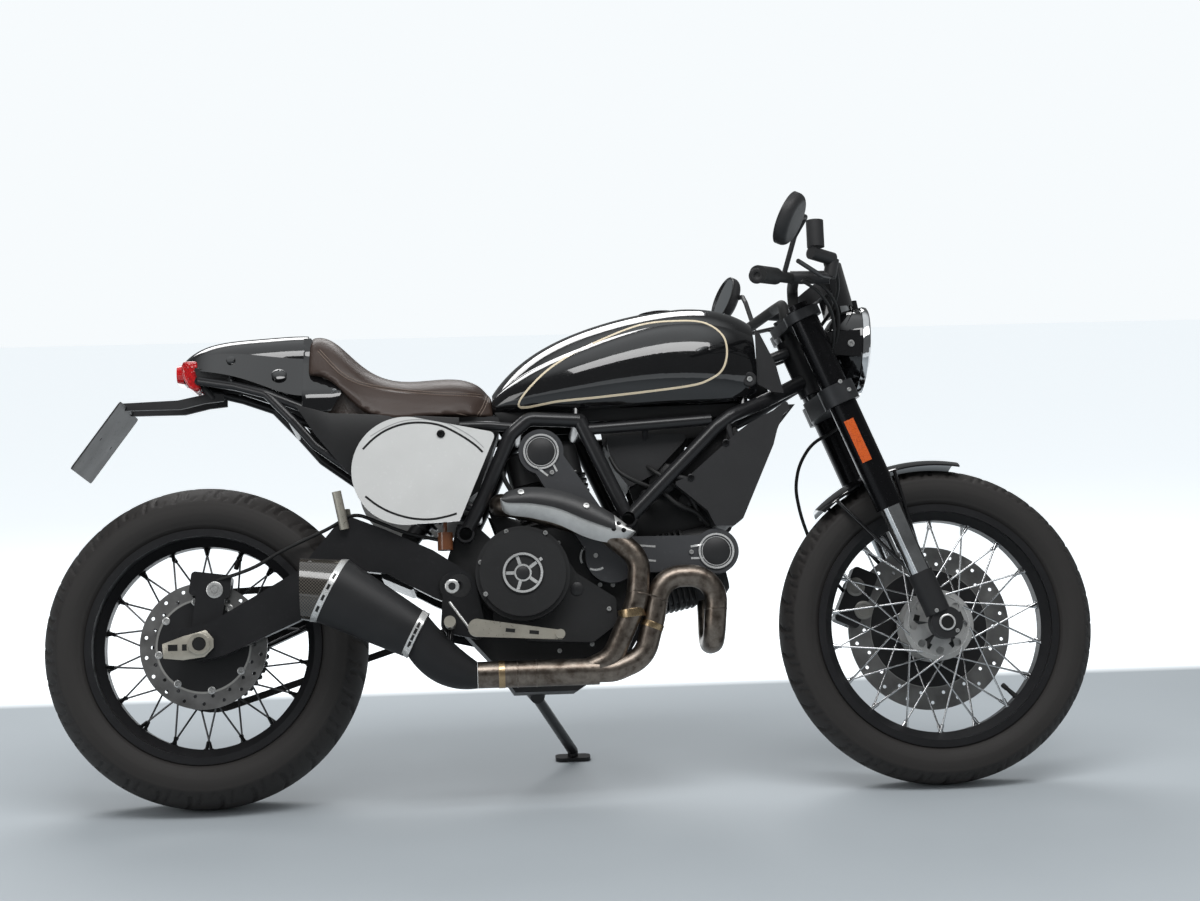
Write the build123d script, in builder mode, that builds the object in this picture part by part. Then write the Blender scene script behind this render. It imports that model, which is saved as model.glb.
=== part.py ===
# A cafe racer motorcycle that leans on its side stand, in millimetres.
# It is drawn upright, with X forward from the rear axle, Y to the rider's left and Z up from the floor,
# and each finished piece is then leaned over and set down with its box centred on the origin.
from build123d import *
from math import atan2, cos, degrees, hypot, pi, radians, sin, tan
import os

os.makedirs("parts", exist_ok=True)

# The whole machine
wheelbase = 1445.0
rake = 21.8
trail = 94.0
lean = 13.0
steering_lock = 30.0
steering_friction = 20.0
running_gap = 5.5
seat_gap = 0.3
bore_clearance = 0.05
overrun = 2.0

# Tyres and rims, rear and front
rear_tyre_radius, rear_tyre_width, rear_rim_radius, rear_rim_width = 315.0, 176.0, 228.0, 148.0
front_tyre_radius, front_tyre_width, front_rim_radius, front_rim_width = 314.0, 112.0, 241.0, 90.0
tyre_wall_share = 0.4
tyre_shoulder_share = 0.475
tyre_shoulder_drop_share = 0.19
rim_depth = 30.0
rim_wall = 5.0
rim_bead_depth = 9.0
rim_well_width = 44.0

# Hubs, spokes and axles
rear_flange_radius, rear_flange_place, rear_barrel_radius = 62.0, 36.0, 44.0
front_flange_radius, front_flange_place, front_barrel_radius = 70.0, 34.0, 30.0
flange_thickness = 8.0
flange_window_radius = 8.0
flange_window_count = 8
hub_nose_radius = 26.0
rear_hub_right, rear_hub_left = 82.0, 109.0
front_hub_right, front_hub_left = 72.0, 72.0
spoke_radius = 1.9
spoke_pairs = 9
spoke_leave_angle = 56.0
spoke_reach_angle = 5.0
spoke_flange_step = 5.8
spoke_rim_place = 9.0
spoke_rim_step = 4.0
axle_radius = 12.5
axle_bore_radius = 8.0
axle_collar_radius = 22.0
rear_axle_right, rear_axle_left = 138.0, 152.0
front_axle_reach = 122.0

# Brake discs, calipers and the rear sprocket
rear_disc_radius, rear_disc_place = 122.5, 68.7
front_disc_radius, front_disc_place = 165.0, 63.0
disc_thickness = 5.0
disc_track_share = 0.72
disc_window_share = 0.56
disc_window_count = 6
disc_window_angle = 36.0
disc_hole_radius, disc_hole_count = 3.6, 18
disc_hole_row_shares = [0.80, 0.91]
caliper_inner_width, caliper_outer_width = 14.0, 17.0
front_caliper_length, front_caliper_depth = 118.0, 52.0
rear_caliper_length, rear_caliper_depth = 78.0, 46.0
caliper_overlap = 34.0
front_caliper_angle = 156.0
rear_caliper_angle = 82.0
sprocket_teeth = 46
chain_pitch = 15.875
chain_place = 103.0
sprocket_thickness = 6.0
sprocket_tooth_depth = 5.0
sprocket_window_radius, sprocket_window_width = 80.0, 24.0
sprocket_window_count, sprocket_window_angle = 6, 36.0
# Columns: turn from the tooth's middle in half steps, and height above the root as a share of the tooth
sprocket_tooth_shares = [(-0.9, 0.0), (-0.35, 1.0), (0.35, 1.0), (0.9, 0.0)]
roller_radius = 5.08
chain_plate_height = 15.0
chain_plate_thickness = 2.2
chain_inner_width = 7.4
front_sprocket_teeth = 15
front_sprocket_x, front_sprocket_z = 588.0, 418.0

# Frame tubes: a box that holds the trellis, and the tubes' sizes
frame_corner = (512.0, 0.0, 513.0)
frame_half_width, frame_height, frame_head_gap = 115.0, 255.0, 117.8
frame_head_z = frame_corner[2] + frame_height
frame_end = wheelbase + trail - frame_head_z * tan(radians(rake)) - frame_head_gap
frame_size = (frame_end - frame_corner[0], frame_half_width, frame_height)
frame_tube_radius = 14.0
brace_tube_radius = 11.0
node_tube_radius, node_length = 17.0, 30.0
node_bore_radius, node_nut_radius = 12.5, 10.0
head_tube_radius = 28.0
head_tube_low, head_tube_high = 852.0, 972.0
stem_radius = 15.0
frame_bend = 30.0
# Columns: place along X, across, and up, each as a share of the frame's box
loop_shares = [
    (0.0, 1.0, 0.0), (0.063, 1.0, 0.286), (0.153, 1.0, 0.757), (0.213, 0.974, 0.878), (0.38, 0.957, 0.855),
]
brace_shares = [(0.38, 0.957, 0.855), (0.527, 1.0, 0.082)]
down_shares = [
    (0.527, 1.0, 0.082), (0.829, 0.957, 0.784), (0.877, 0.904, 0.867), (1.0, 0.574, 1.0),
    (1.136, 0.157, 1.173),
]
rail_shares = [(0.407, 0.957, 0.784), (0.811, 0.939, 0.839)]
backbone_shares = [(0.38, 0.417, 0.855), (1.093, 0.209, 1.408)]

# Rear subframe
subframe_corner = (-9.0, 0.0, 639.0)
subframe_size = (640.0, 112.0, 197.0)
subframe_tube_radius = 9.0
subframe_shares = [
    (0.006, 0.536, 1.01), (0.12, 0.732, 0.929), (0.216, 0.893, 0.827), (0.295, 0.964, 0.553),
    (0.364, 0.964, 0.289), (0.483, 0.964, 0.005), (0.67, 0.964, -0.198),
    (0.853, 1.0, -0.391),
]
subframe_top_shares = [
    (0.216, 0.893, 0.827), (0.347, 0.929, 0.645), (0.456, 0.946, 0.462), (0.889, 0.982, 0.442),
    (0.98, 1.0, 0.411),
]

# Fuel tank: sections from back to front
tank_corner = (571.0, 0.0, 755.0)
tank_front_gap = 18.0
tank_size = (frame_end - tank_front_gap - tank_corner[0], 150.0, 214.0)
# Columns: place along the tank, base height, top height, half width at the base, half width at the waist,
# height of the waist, each as a share of the tank's box
tank_sections_shares = [
    (0.0, 0.0, 0.22, 0.42, 0.46, 0.1),
    (0.10, 0.0, 0.49, 0.56, 0.66, 0.16),
    (0.28, 0.0, 0.75, 0.70, 0.86, 0.22),
    (0.52, 0.03, 0.93, 0.80, 1.0, 0.34),
    (0.76, 0.05, 1.0, 0.80, 0.98, 0.38),
    (1.0, 0.13, 0.84, 0.54, 0.64, 0.36),
]
tank_shoulder_share = 0.62
tank_shoulder_width_share = 0.72
hump_side_share = 0.6
tunnel_width, tunnel_height = 124.0, 128.0
tunnel_start_share = 0.3
cap_ring_radius, cap_lid_radius, cap_height = 46.0, 38.0, 10.0
cap_place_share, cap_level_share = 0.66, 0.962
cap_lid_height = 3.0

# Covers at the steering head
cover_corner = (918.0, 0.0, 522.0)
cover_size = (268.0, 110.0, 243.0)
cover_thickness = 26.0
cover_corner_radius = 5.0
head_cover_thickness = 4.0
cover_outline_shares = [
    (0.888, 0.905), (0.836, 0.864), (0.787, 0.741), (0.754, 0.617), (0.507, 0.025), (0.437, -0.033),
    (0.302, -0.029),
    (0.25, 0.095), (0.004, 0.329), (0.112, 0.37), (0.5, 0.733), (0.582, 0.798), (0.761, 0.897),
    (0.866, 0.979),
]
head_cover_corner = (1098.0, 0.0, 774.0)
head_cover_size = (52.0, 88.0, 138.0)
head_cover_shares = [(0.0, 0.19), (0.58, 0.06), (1.0, 0.05), (0.74, 0.47), (0.19, 0.91), (0.0, 1.0)]

# Seat and tail
seat_corner = (213.0, 0.0, 740.0)
seat_size = (357.0, 122.0, 187.0)
# Columns: place along the seat, base height, top height, half width at the base, half width at the top
seat_sections_shares = [
    (0.0, 0.52, 0.99, 0.80, 0.52),
    (0.2, 0.30, 0.82, 0.98, 0.72),
    (0.4, 0.04, 0.54, 1.0, 0.80),
    (0.65, 0.04, 0.50, 1.0, 0.82),
    (0.9, 0.04, 0.46, 0.86, 0.68),
    (1.0, 0.04, 0.30, 0.66, 0.5),
]
cowl_corner = (-38.0, 0.0, 759.0)
cowl_size = (292.0, 118.0, 174.0)
# Columns: place along the cowl, base height, top height, half width at the base, half width at the top
cowl_sections_shares = [
    (0.0, 0.62, 0.74, 0.34, 0.24),
    (0.12, 0.56, 0.88, 0.56, 0.36),
    (0.4, 0.44, 0.97, 0.80, 0.46),
    (0.7, 0.24, 1.0, 0.95, 0.5),
    (0.84, 0.20, 1.0, 1.0, 0.5),
]
tail_light_depth, tail_light_width, tail_light_height = 14.0, 84.0, 40.0

# Number boards and the tray between them
board_corner = (291.0, 0.0, 532.0)
board_size = (285.0, 150.0, 207.0)
board_thickness, board_corner_radius = 5.0, 10.0
# Places along and up as shares of the board's box: the rear arc from low to high, then the front
board_rear_shares = [(0.45, 0.0), (0.02, 0.41), (0.46, 1.0)]
board_front_shares = [(0.46, 1.0), (0.80, 0.90), (1.0, 0.84), (0.737, 0.014), (0.45, 0.0)]
tray_corner = (213.0, 0.0, 560.0)
tray_size = (370.0, 90.0, 200.0)
tray_left = 30.0
tray_outline_shares = [
    (0.046, 0.7), (0.132, 0.925), (0.235, 0.89), (0.4, 0.936), (1.0, 0.936), (1.0, 0.8), (0.884, 0.2),
    (0.776, 0.06),
    (0.586, 0.1), (0.235, 0.44),
]

# Engine: a crankcase, and two cylinders set at a right angle about the crank
crank_x, crank_z = 725.0, 395.0
case_half_width = 88.0
case_corner = (462.0, 0.0, 205.0)
case_size = (388.0, 88.0, 355.0)
case_outline_shares = [
    (0.01, 0.662), (0.062, 0.831), (0.088, 0.93), (0.175, 0.93), (0.253, 0.848), (0.402, 0.865),
    (0.794, 0.944), (0.902, 0.989),
    (0.99, 0.958), (1.0, 0.887), (0.979, 0.775), (1.057, 0.408), (0.923, 0.177), (0.665, 0.0), (0.356, 0.0),
    (0.253, 0.161), (0.098, 0.352), (0.01, 0.504),
]
front_cylinder_angle, rear_cylinder_angle = 12.0, 102.0
cylinder_start, cylinder_length, head_length = 142.0, 88.0, 66.0
cylinder_half_width, cylinder_depth, cylinder_corner = 66.0, 128.0, 26.0
fin_count, fin_thickness, fin_reach = 8, 4.0, 12.0
head_half_width, head_depth = 88.0, 140.0
clutch_x, clutch_z = 619.5, 430.0
clutch_radius, clutch_depth, clutch_step = 91.0, 46.0, 8.0
clutch_ring_radius, clutch_ring_bore, clutch_ring_height = 40.0, 33.0, 3.0
lower_cover_depth = 34.0
lower_cover_shares = [
    (0.253, 0.394), (0.428, 0.273), (0.75, 0.256), (0.871, 0.352), (0.871, 0.493), (0.678, 0.634),
    (0.613, 0.746), (0.459, 0.831), (0.278, 0.803),
]
alternator_radius, alternator_depth = 84.0, 42.0
belt_pulley_x, belt_pulley_z = 795.0, 462.0
front_belt_x, front_belt_z = 999.0, 466.0
rear_belt_x, rear_belt_z = 663.0, 671.0
belt_cover_radius, belt_pulley_cover_radius = 44.0, 52.0
belt_cover_depth = 28.0
belt_ring_radius, belt_ring_bore, belt_ring_height = 36.0, 30.0, 2.5
airbox_half_width = 82.0
airbox_outline_shares = [(0.465, 0.749), (0.748, 0.749), (0.618, 0.435), (0.538, 0.341), (0.488, 0.498)]

# Exhaust
exhaust_corner = (575.0, 0.0, 238.0)
header_belt_gap = 2.0
exhaust_size = (front_belt_x - header_belt_gap - exhaust_corner[0], 156.0, 338.0)
header_radius, collector_radius = 21.5, 25.5
rear_header_shares = [
    (0.073, 0.192, 1.000), (0.012, 0.192, 0.994), (0.014, 0.795, 0.977), (0.154, 0.948, 0.929),
    (0.485, 0.975, 0.799), (0.642, 0.987, 0.634),
    (0.623, 1.000, 0.396), (0.500, 0.987, 0.071), (0.368, 0.975, -0.000), (0.296, 0.975, -0.000),
]
rear_header_bends = [20.0, 30.0, 60.0, 60.0, 50.0, 90.0, 60.0, 30.0]
front_header_shares = [
    (0.979, 0.128, 0.411), (0.979, 0.128, 0.160), (0.974, 0.820, 0.154), (1.000, 0.884, 0.530),
    (0.736, 0.911, 0.530),
    (0.699, 0.936, 0.296), (0.647, 0.961, 0.071), (0.509, 0.975, -0.000), (0.391, 0.975, -0.000),
]
front_header_bends = [26.0, 40.0, 50.0, 50.0, 90.0, 60.0, 60.0]
collector_start_x, collector_end_x, collector_y, collector_z = 760.0, 528.0, 152.0, 238.0
shield_place, shield_thickness = 178.0, 3.0
shield_corner = (560.0, 482.0)
shield_size = (272.0, 118.0)
shield_outline_shares = [
    (0.022, 0.898), (0.147, 0.983), (0.426, 0.932), (0.735, 0.568), (0.985, 0.203), (0.993, 0.127),
    (0.926, 0.034), (0.831, 0.017),
    (0.515, 0.237), (0.221, 0.441), (0.022, 0.542),
]

# Collector box and silencer: a run of oval sections
# Columns: place along X, across and up, half height and half width in millimetres by name below
box_inlet_x, box_inlet_z = 528.0, 238.0
silencer_front = (417.0, 186.0, 314.0)
silencer_rear = (258.0, 196.0, 404.0)
silencer_tail = (199.0, 199.0, 409.0)
silencer_front_height, silencer_rear_height, silencer_tail_height = 92.0, 132.0, 116.0
silencer_front_width, silencer_rear_width, silencer_tail_width = 84.0, 106.0, 90.0
silencer_wall, silencer_bore_depth, silencer_bore_radius = 4.0, 40.0, 27.0

# Swingarm and shock
pivot_x, pivot_z, pivot_radius, pivot_pin_radius = 497.0, 412.0, 29.0, 14.0
arm_right_place, arm_left_place, arm_thickness = 95.0, 117.0, 28.0
arm_corner = (-45.0, 0.0, 283.0)
arm_end_gap = 9.0
arm_size = (pivot_x + pivot_radius + arm_end_gap - arm_corner[0], 125.0, 269.0)
arm_outline_shares = [
    (0.0, 0.13), (0.014, 0.234), (0.1, 0.26), (0.403, 0.628), (0.522, 0.926), (0.581, 1.0), (0.695, 0.9),
    (0.85, 0.743),
    (0.95, 0.599), (0.981, 0.48), (0.964, 0.361), (0.922, 0.331), (0.847, 0.405), (0.693, 0.584),
    (0.591, 0.613),
    (0.414, 0.275), (0.157, 0.037), (0.078, 0.0), (0.017, 0.033),
]
arm_corner_radius = 7.0
arm_bridge_x, arm_bridge_z, arm_bridge_length, arm_bridge_height = 392.0, 460.0, 70.0, 84.0
shock_low = (398.0, 66.0, 521.0)
shock_high = (520.0, 66.0, 660.0)
shock_spring_radius, shock_coil_radius, shock_body_radius, shock_eye_radius = 29.0, 6.0, 18.0, 14.0
shock_coils = 8
shock_pin_radius, shock_lug_thickness, shock_lug_gap = 6.0, 8.0, 6.0
shock_lug_outline = [(376.0, 488.0), (420.0, 488.0), (412.0, 534.0), (384.0, 534.0)]
shock_bracket_outline = [(508.0, 646.0), (508.0, 674.0), (592.0, 682.0), (576.0, 640.0)]
shock_bracket_place, shock_bracket_thickness = 120.0, 12.0
carrier_outline = [(-26.0, 290.0), (26.0, 290.0), (46.0, 412.0), (-12.0, 412.0)]
carrier_place, carrier_thickness = 88.6, 6.0
lamp_ear_place, lamp_ear_outline = 72.0, [
    (1222.0, 858.0), (1222.0, 900.0), (1310.0, 905.0), (1310.0, 850.0),
]

# Foot controls
peg_radius, peg_length = 11.0, 78.0
peg_x, peg_z = 478.0, 338.0
folded_peg_low = (279.0, 8.0, 528.0)
folded_peg_high = (265.0, 20.0, 600.0)
folded_peg_radius = 9.0
pedal_pivot_x, pedal_pivot_z, pedal_place, pedal_thickness = 529.0, 326.0, 186.0, 10.0
pedal_boss_radius, pedal_tip_radius, pedal_length = 17.0, 9.0, 158.0
pedal_tilt = -6.5
hanger_thickness, hanger_pivot_radius, hanger_peg_radius = 6.0, 31.0, 18.0
reservoir_x, reservoir_z, reservoir_radius, reservoir_height = 472.0, 500.0, 15.0, 34.0
cooler_length, cooler_height, cooler_half_width = 26.0, 128.0, 62.0
cooler_x, cooler_z = 1050.0, 584.0

# Side stand: deployed, its leg runs from the pivot lug to a foot on the floor
stand_pivot = (640.0, 112.0, 212.0)
stand_foot_x, stand_foot_y = 725.0, 340.0
stand_leg_radius = 11.0
stand_foot_length, stand_foot_width, stand_foot_thickness = 74.0, 44.0, 8.0
stand_pin_radius, stand_eye_radius = 6.0, 15.0
stand_lug_reach, stand_lug_gap, stand_pin_reach, stand_eye_reach = 30.0, 12.3, 14.0, 12.0
stand_web_start, stand_web_end = (649.0, 68.0, 228.0), (648.0, 82.0, 206.0)
stand_axis = (-0.25, 0.9, 0.345)
stand_range = [0.0, 100.0]

# Bosses and brackets that carry one piece on the next
# Columns: the piece, its two ends, its radius, whether it is on both sides, and the pieces that it meets
boss_rows = [
    ("front_side_covers", (1042.0, 110.0, 680.0), (1030.0, 110.0, 726.0), 6.0, True, ["frame"]),
    ("front_side_covers", (950.0, 110.0, 608.0), (914.0, 112.0, 619.0), 6.0, True, ["frame"]),
    ("front_side_covers", (1115.0, 86.0, 845.0), (1115.0, 27.0, 854.0), 6.0, True, ["frame"]),
    ("oil_cooler", (1050.0, -104.0, 584.0), (1050.0, 104.0, 584.0), 5.0, False, ["front_side_covers"]),
    ("seat_tray", (300.0, -112.0, 724.0), (300.0, 112.0, 724.0), 8.0, False, ["rear_subframe"]),
    ("seat_tray", (500.0, -112.0, 722.0), (500.0, 112.0, 722.0), 8.0, False, ["rear_subframe"]),
    ("tail_cowl", (60.0, 80.0, 828.0), (60.0, 58.0, 880.0), 7.0, True, ["rear_subframe"]),
    ("tail_cowl", (155.0, 103.0, 778.0), (155.0, 80.0, 850.0), 7.0, True, ["rear_subframe"]),
    ("tail_light", (-44.0, 0.0, 852.0), (-5.0, 0.0, 836.0), 6.0, False, ["rear_subframe"]),
    ("plate_bracket", (20.0, 34.0, 806.0), (-5.0, 34.0, 836.0), 6.0, True, ["rear_subframe"]),
    ("number_boards", (400.0, 108.0, 722.0), (400.0, 148.0, 722.0), 8.0, True, ["rear_subframe"]),
    ("number_boards", (440.0, 108.0, 594.0), (440.0, 148.0, 594.0), 8.0, True, ["rear_subframe"]),
    ("brake_reservoir", (472.0, -112.0, 510.0), (473.0, -112.0, 583.0), 4.0, False, ["rear_subframe"]),
    ("airbox", (870.0, 72.0, 692.0), (870.0, 109.0, 719.0), 6.0, True, ["frame"]),
    ("fuel_tank", (735.0, 98.0, 768.0), (733.0, 109.0, 734.0), 7.0, True, ["frame"]),
    ("fuel_tank", (1070.0, 74.0, 800.0), (1066.0, 91.0, 746.0), 7.0, True, ["frame"]),
    (
        "fly_screen", (1317.0, 0.0, 945.0), (1311.0, 0.0, 980.0), 10.0, False,
        ["headlight_shell", "headlight_lens"],
    ),
    ("instrument", (1226.0, 0.0, 990.0), (1203.0, 0.0, 930.0), 9.0, False, ["triple_clamps"]),
    (
        "front_fender", (1368.0, 60.0, 623.0), (1419.0, 94.0, 388.0), 4.0, True,
        ["fork_feet", "fork_inner_tubes"],
    ),
    (
        "front_fender", (1250.0, 60.0, 565.0), (1400.0, 92.0, 400.0), 4.0, True,
        ["fork_feet", "fork_inner_tubes"],
    ),
    ("front_caliper", (1405.0, 100.0, 378.0), (1322.0, 81.0, 385.0), 8.0, False, ["fork_feet"]),
    ("front_caliper", (1420.0, 100.0, 350.0), (1300.0, 81.0, 350.0), 8.0, False, ["fork_feet"]),
    (
        "foot_hangers", (478.0, -129.0, 325.0), (472.0, -150.0, 285.0), 7.0, False,
        ["collector_box", "foot_pegs"],
    ),
    ("heat_shield", (640.0, -180.0, 556.0), (640.0, -148.0, 550.0), 6.0, False, ["exhaust_pipes"]),
    ("heat_shield", (760.0, -180.0, 512.0), (760.0, -150.0, 512.0), 6.0, False, ["exhaust_pipes"]),
]

# Front fork, in the steering frame: forward of the steering axis, across, and along the axis from the floor
fork_offset, fork_place = 24.0, 103.0
fork_outer_radius, fork_inner_radius, fork_foot_radius = 28.0, 21.5, 25.0
fork_top, fork_outer_low, fork_inner_low = 1008.0, 576.0, 436.0
fork_foot_width = 36.0
fork_cap_height, fork_cap_radius = 10.0, 20.0
upper_clamp_low, upper_clamp_height = 984.0, 20.0
lower_clamp_low, lower_clamp_height = 800.0, 40.0
clamp_wall = 9.0
stem_nut_height = 12.0
# Handlebars
bar_radius, grip_radius, grip_length, bar_bend = 11.0, 16.5, 122.0, 26.0
bar_points = [(1183.0, 62.0, 932.0), (1180.0, 62.0, 992.0), (1172.0, 150.0, 998.0), (1068.0, 392.0, 954.0)]
lever_thickness = 9.0
mirror_radius, mirror_thickness, mirror_round = 52.0, 22.0, 15.0
mirror_stalk_radius = 5.0
# Columns: which side, the glass's middle, the way it faces, and the stalk from the bar to its back
mirror_rows = [
    (-1, (1130.0, 364.0, 1068.0), (-0.83, -0.28, 0.45),
     [(1138.0, 232.0, 980.0), (1160.0, 262.0, 1056.0), (1177.0, 306.0, 1084.0), (1143.0, 358.0, 1062.0)]),
    (1, (1090.0, 364.0, 1069.0), (-0.9, -0.28, 0.33),
     [(1138.0, 232.0, 980.0), (1128.0, 270.0, 1040.0), (1128.0, 320.0, 1064.0), (1103.0, 356.0, 1064.0)]),
]
fluid_cup_x, fluid_cup_y, fluid_cup_z, fluid_cup_radius, fluid_cup_height = 1208.0, 214.0, 1045.0, 17.0, 53.0
master_low, master_high, master_radius = (1196.0, 224.0, 1032.0), (1244.0, 190.0, 1026.0), 13.0
# Headlight
lamp_x, lamp_z, lamp_radius, lamp_tilt = 1318.0, 877.0, 84.0, -5.0
lamp_shell_depth, lamp_back_radius, lamp_lens_thickness = 72.0, 34.0, 8.0
lamp_ear_thickness = 14.0
screen_thickness = 3.0
# Instrument
dial_radius, dial_depth, dial_x, dial_z = 46.0, 30.0, 1230.0, 1010.0
dial_tilt = 35.0
# Front fender
fender_gap, fender_thickness, fender_width = 17.0, 3.0, 124.0
fender_rear_angle, fender_front_angle = 134.0, 80.0
fender_crown = 14.0

# Places that the first draft set
parked_middle_x, parked_middle_y = 722.0, 237.8
tail_light_z, tail_light_taper = 858.0, 12.0
plate_corner = (-254.0, 0.0, 660.0)
plate_size = (300.0, 220.0, 180.0)
plate_arm_shares = [
    (0.30, 0.70), (0.30, 0.78), (0.68, 0.80), (0.86, 0.86), (0.98, 0.86), (0.98, 0.78), (0.86, 0.76),
    (0.70, 0.70),
]
plate_arm_place, plate_arm_thickness = 30.0, 8.0
plate_top_share, plate_low_share = (0.34, 0.0, 0.74), (0.02, 0.0, 0.02)
plate_thickness, plate_corner_radius, plate_rod_radius = 3.0, 8.0, 5.0
plate_hole_spacing, plate_hole_radius = 120.0, 3.5
tray_corner_radius = 8.0
case_cover_corner = 12.0
pivot_lug_half = 90.0
belt_waist_share = 0.72
box_middle = (470.0, 166.0, 262.0)
box_middle_direction = (-0.96, 0.0, 0.28)
box_middle_width, box_middle_height = 76.0, 84.0
arm_bridge_turn = -24.0
shock_spring_start_share, shock_spring_share = 0.2, 0.6
caliper_corner_radius = 8.0
reservoir_y = 112.0
cooler_turn = -22.0
fork_foot_wall = 6.0
lever_pivot = (1236.0, 190.0, 990.0)
lever_knee = (1212.0, 240.0, 982.0)
lever_tip = (1152.0, 345.0, 988.0)
lever_bend = 30.0
housing_place = (1161.0, 175.0, 994.0)
housing_radius = 13.0
lamp_waist_share, lamp_waist_radius_share = 0.45, 0.94
screen_low = (1313.0, 0.0, 966.0)
screen_high = (1292.0, 0.0, 1056.0)
screen_width, screen_wrap = 150.0, 46.0
hose_radius, hose_arc_share = 3.5, 0.45
front_hose_points = [
    (1244.0, -190.0, 1026.0), (1262.0, -150.0, 985.0), (1256.0, -100.0, 945.0), (1240.0, -50.0, 925.0),
    (1236.0, 0.0, 918.0), (1236.0, 45.0, 895.0), (1250.0, 60.0, 850.0), (1284.0, 60.0, 808.0),
    (1300.0, 57.0, 765.0),
    (1275.0, 52.0, 722.0), (1225.0, 58.0, 700.0), (1196.0, 64.0, 655.0), (1187.0, 70.0, 607.0),
    (1196.0, 72.0, 550.0),
    (1222.0, 72.0, 470.0), (1250.0, 68.0, 425.0), (1280.0, 66.0, 388.0),
]
rear_hose_points = [
    (28.0, -90.0, 440.0), (60.0, -100.0, 447.0), (105.0, -103.0, 462.0), (151.0, -104.0, 490.0),
    (203.0, -106.0, 513.0),
    (252.0, -108.0, 534.0), (296.0, -109.0, 562.0), (345.0, -109.0, 541.0), (398.0, -110.0, 518.0),
    (466.0, -111.0, 502.0),
]

# Everything below follows from the values above.
rake_sin, rake_cos = sin(radians(rake)), cos(radians(rake))
crown_radius = {}
for name, width in (("rear", rear_tyre_width), ("front", front_tyre_width)):
    drop = width * tyre_shoulder_drop_share
    half = width * tyre_shoulder_share
    crown_radius[name] = (drop * drop + half * half) / (2 * drop)
lean_cos = cos(radians(lean))
lean_sin = sin(radians(lean))
sink = crown_radius["rear"] * (1 - lean_cos)
rear_axle_z = rear_tyre_radius
front_axle_z = front_tyre_radius - (
    crown_radius["rear"] - crown_radius["front"]
) * (1 - lean_cos) / lean_cos
steering_foot = Vector(wheelbase + trail, 0, 0)
steering_up = Vector(-rake_sin, 0, rake_cos)
steering_forward = Vector(rake_cos, 0, rake_sin)
pieces = {}


def keep(name, part):
    """Files a finished piece under its node's name."""
    pieces[name] = part


def places(corner, size, shares):
    """Turns rows of shares of a box into places, measured along X, Y and Z, or X and Z, from its corner."""
    return [tuple(c + s * share for c, s, share in zip(corner, size, row)) for row in shares]


def side_places(corner, size, shares):
    """Turns pairs of shares into places in the side view of a box given in three dimensions."""
    return places((corner[0], corner[2]), (size[0], size[2]), shares)


def steering_point(forward, across, along):
    """A place in the steering frame, turned into the machine's frame."""
    return steering_foot + steering_forward * forward + Vector(0, across, 0) + steering_up * along


def steering_plane(along):
    """A plane square to the steering axis: its X runs forward and its Y to the left."""
    return Plane(origin=steering_point(0, 0, along), x_dir=steering_forward, z_dir=steering_up)


def right_plane(distance):
    """A side-view plane to the right of the middle: its X runs forward, its Y up and its normal outwards."""
    return Plane.XZ.offset(distance)


def both_sides(part):
    """The piece and its mirror image on the other side."""
    return part + mirror(part, about=Plane.XZ)


def on_right(point):
    """The same place on the right of the machine."""
    return (point[0], -point[1], point[2])


def rod(start, end, radius):
    """A straight round rod between two places."""
    line = Vector(*end) - Vector(*start)
    with BuildPart() as piece:
        with BuildSketch(Plane(origin=start, z_dir=line)):
            Circle(radius)
        extrude(amount=line.length)
    return piece.part


def bent_tube(points, radius, bends):
    """A round tube along straight runs that are joined by arcs."""
    start = Vector(*points[0])
    with BuildPart() as piece:
        with BuildLine() as path:
            FilletPolyline(*points, radius=bends)
        with BuildSketch(Plane(origin=start, z_dir=path.line @ 0 - path.line @ 0 + path.line % 0)):
            Circle(radius)
        sweep(path=path.line)
    return piece.part


def hose(points, radius):
    """A round hose whose arcs are as large as its runs allow."""
    line = [Vector(*point) for point in points]
    bends = []
    for before, corner, after in zip(line, line[1:], line[2:]):
        half_turn = radians((corner - before).get_angle(after - corner)) / 2
        shorter = min((corner - before).length, (after - corner).length)
        bends.append(hose_arc_share * shorter / tan(half_turn))
    print("hose arcs", [round(bend, 1) for bend in bends])
    return bent_tube(points, radius, bends)


def plate(outline, near, thickness, corner=0.0):
    """A flat plate on the right side, from a side-view outline, that starts near the middle and goes out."""
    with BuildPart() as piece:
        with BuildSketch(right_plane(near)) as sketch:
            with BuildLine():
                Polyline(*outline, close=True)
            make_face()
            if corner:
                fillet(sketch.vertices(), corner)
        extrude(amount=thickness)
    return piece.part


def barrel(x, z, near, far, radius, bore=0.0):
    """A round boss across the machine, from one distance to another on its right side."""
    with BuildPart() as piece:
        with BuildSketch(right_plane(near)):
            with Locations((x, z)):
                Circle(radius)
                if bore:
                    Circle(bore, mode=Mode.SUBTRACT)
        extrude(amount=far - near)
    return piece.part


def coped(part, *others):
    """The piece without the room that its neighbours take up, so that it ends on their surfaces."""
    with BuildPart() as piece:
        add(part)
        for other in others:
            add(other, mode=Mode.SUBTRACT)
    return piece.part


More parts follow.
